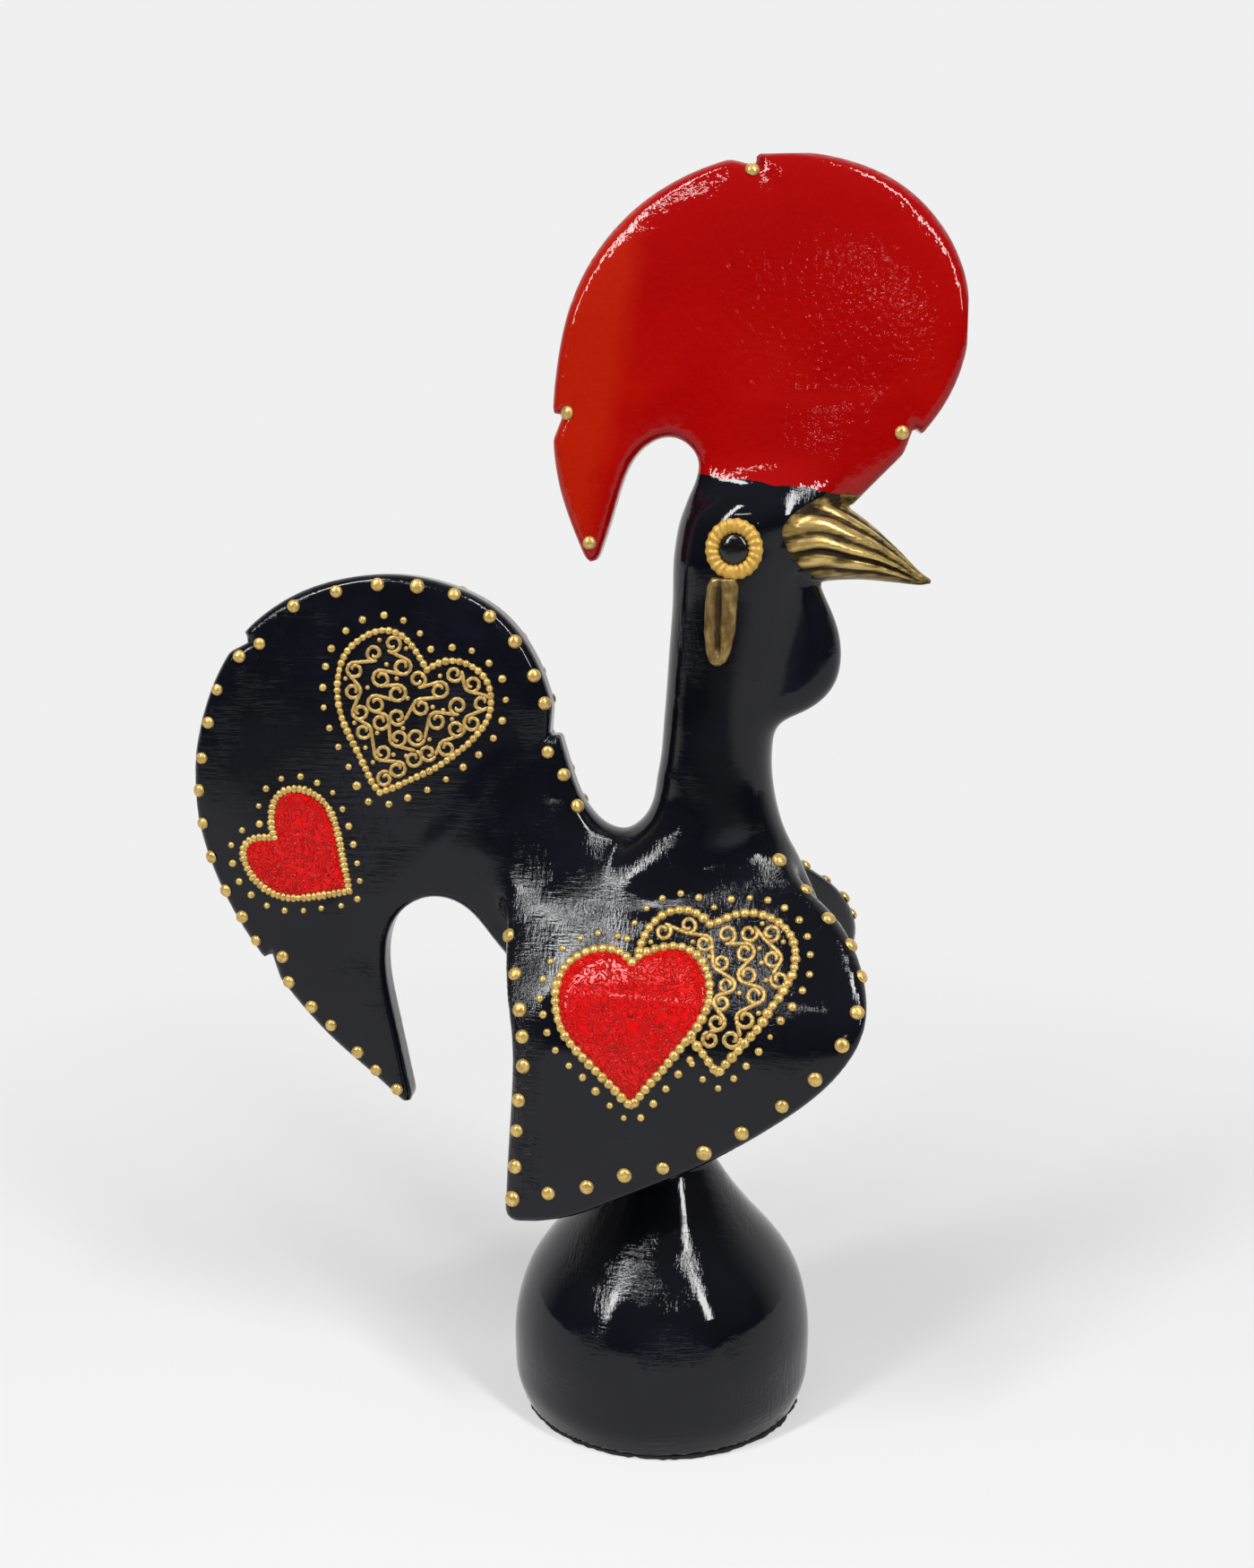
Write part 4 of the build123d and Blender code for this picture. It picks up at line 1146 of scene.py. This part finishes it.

# Hearts: border lines read in two enlarged pictures of the wing and of the tail
WING_RED = in_frame([
    (518, 462), (560, 425), (620, 395), (690, 378), (760, 372), (820, 388), (875, 425), (912, 480),
    (935, 540), (943, 600), (940, 660), (922, 720), (895, 780), (860, 835), (815, 890), (770, 945),
    (725, 1000), (680, 1055), (635, 1105), (590, 1155), (550, 1205), (515, 1250), (465, 1205), (420, 1155),
    (370, 1105), (320, 1055), (265, 1000), (215, 945), (165, 885), (130, 825), (108, 760), (98, 690),
    (98, 620), (115, 550), (150, 485), (205, 435), (270, 402), (340, 385), (410, 390),
    (470, 415)], WING_PIC)
WING_SCROLL = in_frame([
    (945, 252), (1000, 235), (1060, 207), (1120, 193), (1180, 193), (1240, 205), (1300, 232), (1350, 268),
    (1385, 315), (1405, 370), (1412, 430), (1405, 490), (1385, 550), (1350, 610), (1315, 665), (1275, 715),
    (1240, 775), (1200, 830), (1155, 880), (1110, 930), (1060, 985), (1015, 1035), (985, 1072), (940, 1010),
    (905, 960), (870, 915), (838, 875), (790, 800), (720, 700), (640, 600), (560, 520), (545, 450),
    (558, 400), (575, 340), (600, 290), (640, 240), (690, 200), (750, 178), (820, 175),
    (880, 198)], WING_PIC)
TAIL_SCROLL = in_frame([
    (1003, 372), (1040, 348), (1100, 330), (1160, 333), (1215, 355), (1265, 395), (1295, 445), (1305, 505),
    (1303, 560), (1285, 615), (1250, 665), (1205, 715), (1150, 760), (1090, 805), (1030, 842), (965, 873),
    (900, 903), (840, 930), (780, 952), (745, 905), (718, 850), (690, 790), (660, 730), (630, 670),
    (605, 610), (588, 550), (580, 490), (580, 430), (588, 375), (605, 320), (635, 272), (680, 232),
    (730, 202), (785, 185), (840, 190), (890, 215), (935, 262), (972, 318)], TAIL_PIC)
TAIL_RED = in_frame([
    (282, 1166), (268, 1110), (268, 1050), (282, 990), (318, 950), (370, 935), (430, 942), (480, 967),
    (525, 1010), (555, 1060), (575, 1120), (590, 1180), (600, 1240), (612, 1300), (625, 1360), (636, 1418),
    (580, 1427), (520, 1437), (460, 1445), (400, 1451), (340, 1449), (280, 1432), (225, 1397), (180, 1352),
    (150, 1302), (134, 1250), (140, 1205), (175, 1173), (230, 1164)], TAIL_PIC)


def heart_line(points, tip):
    """The closed border line, with its notch and the numbered point at its tip kept sharp."""
    a = spline(points[:tip + 1], 1.2)
    b = spline(points[tip:] + points[:1], 1.2)
    return np.concatenate([a[:-1], b[:-1]])


def runs(order, wanted):
    """Stretches of more than three neighbours that are all wanted."""
    found, run = [], []
    for i in order:
        if wanted[i]:
            run.append(i)
        else:
            found.append(run)
            run = []
    found.append(run)
    return [run for run in found if len(run) > 3]


def bead_border(name, line, pitch, radius, height, node, skip=None, stretch=1.0):
    """Beads along a heart's border on the paint that joins them, but not inside the heart to skip."""
    build = Build()
    pixels = resample(line, 1.5, True)
    spots, ns = seat_line(pixels)
    round_spots, round_pixels = (np.concatenate([a, a[:1]]) for a in (spots, pixels))
    t = lengths(round_spots)
    for q in np.linspace(0, t[-1], int(round(t[-1] / pitch)), endpoint=False):
        if skip is not None and distance_at(at_length(q, t, round_pixels), skip) < 1.0:
            continue
        spot = at_length(q, t, round_spots)
        ahead = at_length((q + 0.3) % t[-1], t, round_spots) - spot
        spot, n = nearest(spot)
        jitter = 1 + 0.07 * rng.standard_normal()
        dome(build, spot, n, radius * jitter, height * jitter, 0.05, 12, 5, ahead, stretch)
    under = radius * 0.62, height * 0.42
    if skip is None:
        trail(build, spots, ns, *under, closed=True)
    else:
        wanted = [distance_at(p, skip) > 2.0 for p in pixels]
        start = wanted.index(False) if False in wanted else 0
        for run in runs(np.roll(np.arange(len(wanted)), -start), wanted):
            trail(build, spots[run], ns[run], *under)
    build.both(name, BEAD_GOLD, "antique_gold", node)


wing_red_line = heart_line(WING_RED, tip=21)
wing_scroll_line = heart_line(WING_SCROLL, tip=22)
tail_scroll_line = heart_line(TAIL_SCROLL, tip=18)
tail_red_line = heart_line(TAIL_RED, tip=15)
bead_border("wing_red_border", wing_red_line, 1.95, 1.08, 0.85, "wing_red_heart_border")
bead_border("wing_scroll_border", wing_scroll_line, 1.95, 1.08, 0.85, "wing_scroll_heart", skip=wing_red_line)
bead_border("tail_scroll_border", tail_scroll_line, 1.55, 0.85, 0.7, "tail_scroll_heart")
bead_border("tail_red_border", tail_red_line, 1.2, 0.95, 0.6, "tail_red_heart_border", stretch=0.75)


def outward_of(loop):
    """The direction away from the middle of a closed loop, at each of its points."""
    around = unit(np.roll(loop, -1, 0) - np.roll(loop, 1, 0))
    side = np.stack([around[:, 1], -around[:, 0]], 1)
    return side * np.sign(((loop - loop.mean(0)) * side).sum())


def infill(name, line, inset_px, height, rings, node):
    """A cushion of red relief paint that fills a heart inside its border."""
    loop = resample(line, 2.0, True)
    middle = loop.mean(0)
    edge = loop - outward_of(loop) * inset_px
    pts = []
    for r in range(rings):
        s = r / rings
        h = height * (1 - (1 - min(s * 6, 1)) ** 2) if r else -SUNK_EDGE
        spots, ns = seat_line(edge + (middle - edge) * s)
        pts.extend(spots + ns * h)
    spot, n = seat_pixel(*middle)
    pts.append(spot + n * height)
    build = Build()
    build.add(pts, [f[::-1] for f in capped_faces(rings, len(loop))])
    build.both(name, RED_RELIEF, "red_relief", node)


infill("wing_red_fill", wing_red_line, 2.5, 0.55, 26, "wing_red_heart")
infill("tail_red_fill", tail_red_line, 2.5, 0.45, 18, "tail_red_heart")


# Scroll work: chains of curls, each chain a running stem that wraps from one curl to the next
CURL_TURN, CURL_CLOSE = 3.0, 0.74


def on_circle(centre, radius, w):
    return np.stack([centre[0] + radius * np.cos(w), centre[1] + radius * np.sin(w)], 1)


def arc(centre, radius, a0, a1, turn, step=0.12):
    """Points from one angle to another, turning the way turn says, and the angle between."""
    span = (a1 - a0) * turn % (2 * math.pi)
    return on_circle(centre, radius, a0 + turn * np.linspace(0, span, max(int(span / step), 2))), span


def scroll_chain(centres, radius, turn):
    """Lines of one running scroll: a curl that peels off round each centre, and the stem."""
    lines, stem = [], []
    c = np.array(centres, float)
    enter = None
    for i in range(len(c)):
        start, span = enter, 0.0
        if i + 1 < len(c):
            way = c[i + 1] - c[i]
            reach = math.acos(min(2 * radius / np.linalg.norm(way), 0.999))
            start = math.atan2(way[1], way[0]) - turn * reach
            enter = start - turn * 0.3 if enter is None else enter
            pts, span = arc(c[i], radius, enter, start, turn)
            if span > 4.6:
                pts, span = pts[-2:], 0.0
            stem.append(pts)
        else:
            stem.append(on_circle(c[i], radius, np.array([enter])))
        free = max(2 * math.pi - span - 1.2, 0.3)
        turns = np.linspace(0, free + CURL_TURN, 40)
        inward = np.clip((turns - 0.6 * free) / (CURL_TURN + 0.4 * free), 0, 1)
        lines.append(on_circle(c[i], radius * (1 - CURL_CLOSE * inward ** 0.9), start + turn * turns))
        enter, turn = start + math.pi, -turn
    return lines + [np.concatenate(stem)]


def scroll_fill(name, pic, chains, spots, line, width, height, avoid=None):
    """Curls and drops inside a heart, and outside the one to avoid."""
    build = Build()
    for chain in chains:
        for curve in scroll_chain(*chain):
            px = resample(np.array(in_frame(curve, pic)), 1.6)
            inside = [distance_at(p, line) < -2.0 and (avoid is None or distance_at(p, avoid) > 3.0)
                      for p in px]
            for run in runs(range(len(px)), inside):
                seats, ns = seat_line(px[run])
                waver = 1 + 0.10 * np.sin(np.arange(len(run)) * 1.9) + 0.05 * rng.standard_normal(len(run))
                trail(build, seats, ns, width, height, swell=waver)
    for p in in_frame(spots, pic):
        spot, n = seat_pixel(*p)
        dome(build, spot, n, width * 1.25, height * 1.1, peak=0.05, sides=10, rings=4)
    build.both(name, SCROLL_GOLD, "antique_gold")


scroll_fill("wing_scroll_fill", WING_PIC, [
    ([(690, 290), (825, 262), (915, 355), (1000, 465), (1040, 585), (1005, 680), (985, 790),
      (945, 880)], 40, 1),
    ([(1035, 315), (1140, 405), (1145, 530), (1195, 640), (1135, 770), (1065, 880)], 46, -1),
    ([(1160, 300), (1275, 305), (1290, 440), (1320, 555)], 44, 1),
], [
    (620, 350), (850, 350), (1230, 250), (1215, 385), (940, 430), (1225, 465), (1345, 350), (1105, 630),
    (1210, 740), (1250, 560)], wing_scroll_line, 0.50, 0.5, avoid=wing_red_line)
scroll_fill("tail_scroll_fill", TAIL_PIC, [
    ([(755, 295), (660, 370), (655, 470), (685, 570), (705, 660), (790, 765), (865, 840),
      (805, 885)], 34, 1),
    ([(840, 250), (890, 355), (785, 410), (865, 480), (760, 530), (785, 615), (865, 695),
      (940, 790)], 37, -1),
    ([(1135, 390), (1215, 440), (1265, 525), (1215, 620), (1145, 650), (1095, 740), (1010, 765)], 35, 1),
    ([(960, 420), (1065, 465), (975, 545), (865, 595)], 36, -1),
    ([(1150, 545), (1050, 610), (955, 690)], 38, 1),
], [
    (905, 270), (778, 230), (812, 345), (722, 455), (860, 412), (912, 505), (985, 400), (1065, 400),
    (1030, 547), (1080, 562), (1122, 605), (890, 648), (768, 670), (712, 740), (748, 808), (845, 772),
    (905, 778), (1015, 700), (618, 412), (660, 622)], tail_scroll_line, 0.44, 0.42)

PX_PER_MM = 5.0


def halo(build, line, gap_px, pitch, radius, other, other_gap):
    """Small dots that follow a heart at a distance, and keep another distance from the other heart."""
    loop = resample(line, 1.5, True)
    ring = loop + outward_of(loop) * gap_px
    ring = ring[loop_distance(ring, loop) > gap_px * 0.93]
    for p in resample(ring, pitch * PX_PER_MM, True):
        p = p + rng.normal(0, 0.7, 2)
        if distance_at(p, other) > other_gap:
            spot, n = seat_pixel(*p)
            r = radius * (1 + 0.09 * rng.standard_normal())
            dome(build, spot, n, r, r * 0.7, peak=0.06, sides=12, rings=4)


wing_halo = Build()
halo(wing_halo, wing_red_line, 16.5, 4.3, 0.82, wing_scroll_line, 11)
halo(wing_halo, wing_scroll_line, 17.0, 4.2, 0.82, wing_red_line, 13)
wing_halo.both("wing_halo", BEAD_GOLD, "antique_gold")
tail_halo = Build()
halo(tail_halo, tail_scroll_line, 16.5, 4.7, 0.82, tail_red_line, 12)
halo(tail_halo, tail_red_line, 14.5, 4.1, 0.76, tail_scroll_line, 12)
tail_halo.both("tail_halo", BEAD_GOLD, "antique_gold")

# Eyes and ear lobes
EYE_PIXEL = (819.7, 612.8)
EYE_RADIUS, EYE_RISE = 3.35, 1.5
ROPE_RADIUS, ROPE_TALL = 4.60, 1.05
ROPE_WIDE, ROPE_RISE, ROPE_LIFT = 1.50, 1.15, 0.15
STRANDS, STRAND_WIDE, STRAND_RISE, STRAND_LEAN = 21, 0.11, 0.14, 1.1
ROPE_STEPS, ROPE_SIDES = 168, 14
eye_spot, eye_n = seat_pixel(*EYE_PIXEL)
eye_a, eye_b = axes_on(eye_n, (1, 0, 0))


def eye_rope():
    """The ring round the eye, laid like a twisted rope."""
    pts = []
    for i in range(ROPE_STEPS):
        w = 2 * math.pi * i / ROPE_STEPS
        for j in range(ROPE_SIDES):
            t = 2 * math.pi * j / ROPE_SIDES
            twist = math.cos(w * STRANDS + STRAND_LEAN * math.cos(t))
            rad = ROPE_RADIUS + (ROPE_WIDE + STRAND_WIDE * twist) * math.cos(t)
            rise = ROPE_LIFT + (ROPE_RISE + STRAND_RISE * twist) * math.sin(t)
            flat = eye_spot + eye_a * math.cos(w) * rad + eye_b * math.sin(w) * rad * ROPE_TALL
            pts.append(flat + eye_n * rise)
    build = Build()
    build.add(pts, grid_faces(ROPE_STEPS, ROPE_SIDES, True, True, turned=True))
    build.both("eye_rope", RING_GOLD, "antique_gold", "eye_ring")


eye_rope()
eye = Build()
dome(eye, eye_spot, eye_n, EYE_RADIUS, EYE_RISE, sides=40, rings=12)
eye.both("eye_dome", EYE_BLACK, "eye_gloss", "eye")

# The lobe in the enlarged picture of the head: its height, and its left and right edges on the way down
LOBE_TOP, LOBE_FOOT = 706, 1196
LOBE_LEVELS = [0, 0.1, 0.3, 0.6, 0.85, 0.95, 1.0]
LOBE_LEFT = [268, 244, 232, 226, 238, 258, 296]
LOBE_RIGHT = [400, 420, 410, 400, 372, 345, 304]
LOBE_ROWS, LOBE_COLS = 90, 33
LOBE_THICK, GROOVE_DEEP, HOLLOW_DEEP = 1.15, 0.85, 0.3


def ear_lobe():
    """The drop below the eye, with a groove down its middle and a hollow beside it."""
    pts, darkness = [], []
    for i in range(LOBE_ROWS):
        t = i / (LOBE_ROWS - 1)
        left, right = np.interp(t, LOBE_LEVELS, LOBE_LEFT), np.interp(t, LOBE_LEVELS, LOBE_RIGHT)
        groove_here = np.interp(t, [0, 0.06, 0.2, 0.78, 0.9, 1], [0, 0.5, 1, 1, 0.1, 0])
        hollow_here = np.interp(t, [0, 0.1, 0.3, 0.5, 0.7, 1], [0, 0.5, 0.6, 0.3, 0, 0])
        for j in range(LOBE_COLS):
            s = j / (LOBE_COLS - 1)
            pixel, = in_frame([(left + (right - left) * s, LOBE_TOP + t * (LOBE_FOOT - LOBE_TOP))], HEAD_PIC)
            spot, n = seat_pixel(*pixel)
            across = 2 * s - 1
            edge = min(1 - abs(across), t * 6.0, (1 - t) * 6.0)
            rise = min(edge / 0.22, 1.0) ** 0.5
            groove = math.exp(-((across + 0.12 - 0.25 * (t - 0.5)) / 0.20) ** 2) * groove_here
            hollow = math.exp(-((across - 0.42) / 0.16) ** 2) * hollow_here
            h = LOBE_THICK * rise - GROOVE_DEEP * groove - HOLLOW_DEEP * hollow
            h += 0.05 * math.sin(t * 37 + across * 3)
            inner = 0 < i < LOBE_ROWS - 1 and 0 < j < LOBE_COLS - 1
            pts.append(spot + n * (h if inner else -SUNK_EDGE))
            # Painted shade in the groove and the hollow, and darker at the lobe's rim.
            darkness.append(0.30 + 0.75 * groove + 0.35 * hollow + (0.35 if edge < 0.05 else 0.0))
    build = Build()
    build.add(pts, grid_faces(LOBE_ROWS, LOBE_COLS, turned=True))
    for drop in build.both("ear_drop", LOBE_GOLD, "antique_gold", "ear_lobe"):
        write_painted_shading(drop, np.array(darkness))


ear_lobe()

# Felt under the foot: radius and height of each ring
FELT_SIDES = 160
FELT_RINGS = [(0.0, 0.0), (31.2, 0.0), (31.8, 0.25), (31.9, 0.7), (31.5, 1.05), (0.0, 1.1)]


def felt_disc():
    """A disc with an uneven cut edge."""
    uneven = 0.25 * np.sin(np.arange(FELT_SIDES) * 0.9) * rng.random(FELT_SIDES)
    uneven = uneven + 0.12 * rng.standard_normal(FELT_SIDES)
    pts = []
    for rad, z in FELT_RINGS:
        for k in range(FELT_SIDES):
            w = 2 * math.pi * k / FELT_SIDES
            r = max(rad + (uneven[k] if rad > 1 else 0), 0.0)
            pts.append((r * math.cos(w), r * math.sin(w), z))
    faces = grid_faces(len(FELT_RINGS), FELT_SIDES, round_cols=True)
    place(make_object("felt_disc", np.array(pts), faces, FELT), "felt", "felt_pad")


felt_disc()

# Floor, backdrop colour and lamps
scene = bpy.context.scene
scene.view_settings.view_transform = "Standard"
PALE = 0.871
FLOOR_HALF = 6.0

floor_mesh = bpy.data.meshes.new("floor")
floor_corners = [(x * FLOOR_HALF, y * FLOOR_HALF, 0) for x, y in ((-1, -1), (1, -1), (1, 1), (-1, 1))]
floor_mesh.from_pydata(floor_corners, [], [(0, 1, 2, 3)])
floor = bpy.data.objects.new("floor", floor_mesh)
scene.collection.objects.link(floor)


def background_share(s, where):
    """One for rays that see the background: the camera's, and those mirrored where the scene is pale."""
    path = s.node("ShaderNodeLightPath").outputs
    mirrored = s.times(s.math("MAXIMUM", path["Is Glossy Ray"], path["Is Transmission Ray"]), where)
    return s.math("MAXIMUM", path["Is Camera Ray"], mirrored)


def paper():
    """The paper is pale all round. Out in front it darkens in mirrored light, as a table's end would."""
    s = Shader("floor_paper")
    s.tree.nodes.remove(s.bsdf)
    front = s.range(s.parts_of(s.coord)[1], -0.90, -0.35, 0, 1)
    away = s.node("ShaderNodeVectorMath", operation="LENGTH")
    s.link(s.coord, away.inputs[0])
    near = s.range(away.outputs["Value"], 0.09, 0.42, 0.45, 1.0)
    matt = s.node("ShaderNodeBsdfDiffuse", Color=s.mix(front, (0.14, 0.14, 0.14), (0.80, 0.80, 0.80)))
    glow = s.node("ShaderNodeEmission", Strength=PALE)
    s.shared(s.times(background_share(s, front), near), matt, glow, s.out)
    return s.mat


floor_mesh.materials.append(paper())


def studio():
    """A dark room that grows lighter upwards, with pale paper behind the object."""
    world = bpy.data.worlds.new("studio")
    world.use_nodes = True
    scene.world = world
    s = Nodes(world.node_tree)
    out = s.node("ShaderNodeOutputWorld")
    _, y, z = s.parts_of(s.node("ShaderNodeTexCoord").outputs["Generated"])
    dark = s.mix(s.range(z, 0.0, 0.9, 0, 1), (0.05, 0.05, 0.055), (0.18, 0.18, 0.19))
    room = s.node("ShaderNodeBackground", Color=dark, Strength=1.0)
    white = s.node("ShaderNodeBackground", Color=(PALE, PALE, PALE), Strength=1.0)
    s.shared(background_share(s, s.range(y, 0.0, 0.5, 0, 1)), room, white, out)


studio()


def lamp(name, azimuth, elevation, distance, wide, tall, watts, aim=(0, 0, 0.13)):
    """A soft box. Azimuth 0 is the camera's side, positive to the right."""
    data = bpy.data.lights.new(name, "AREA")
    data.shape = "RECTANGLE"
    data.size, data.size_y = wide, tall
    data.energy = watts
    obj = bpy.data.objects.new(name, data)
    scene.collection.objects.link(obj)
    a, e = math.radians(azimuth), math.radians(elevation)
    way = Vector((math.sin(a) * math.cos(e), -math.cos(a) * math.cos(e), math.sin(e)))
    obj.location = Vector(aim) + way * distance
    obj.rotation_mode = "QUATERNION"
    obj.rotation_quaternion = (-way).to_track_quat("-Z", "Y")


lamp("window_left", -42, 43, 1.6, 0.15, 1.5, 21)
lamp("window_right", 42, 43, 1.6, 0.15, 1.5, 21)
lamp("skylight", -20, 42, 1.1, 0.34, 0.07, 1.3, aim=(0.004, -0.003, 0.270))
lamp("far_lamp", 6.0, 9.0, 2.6, 0.07, 0.07, 0.25, aim=(0.044, -0.005, 0.254))
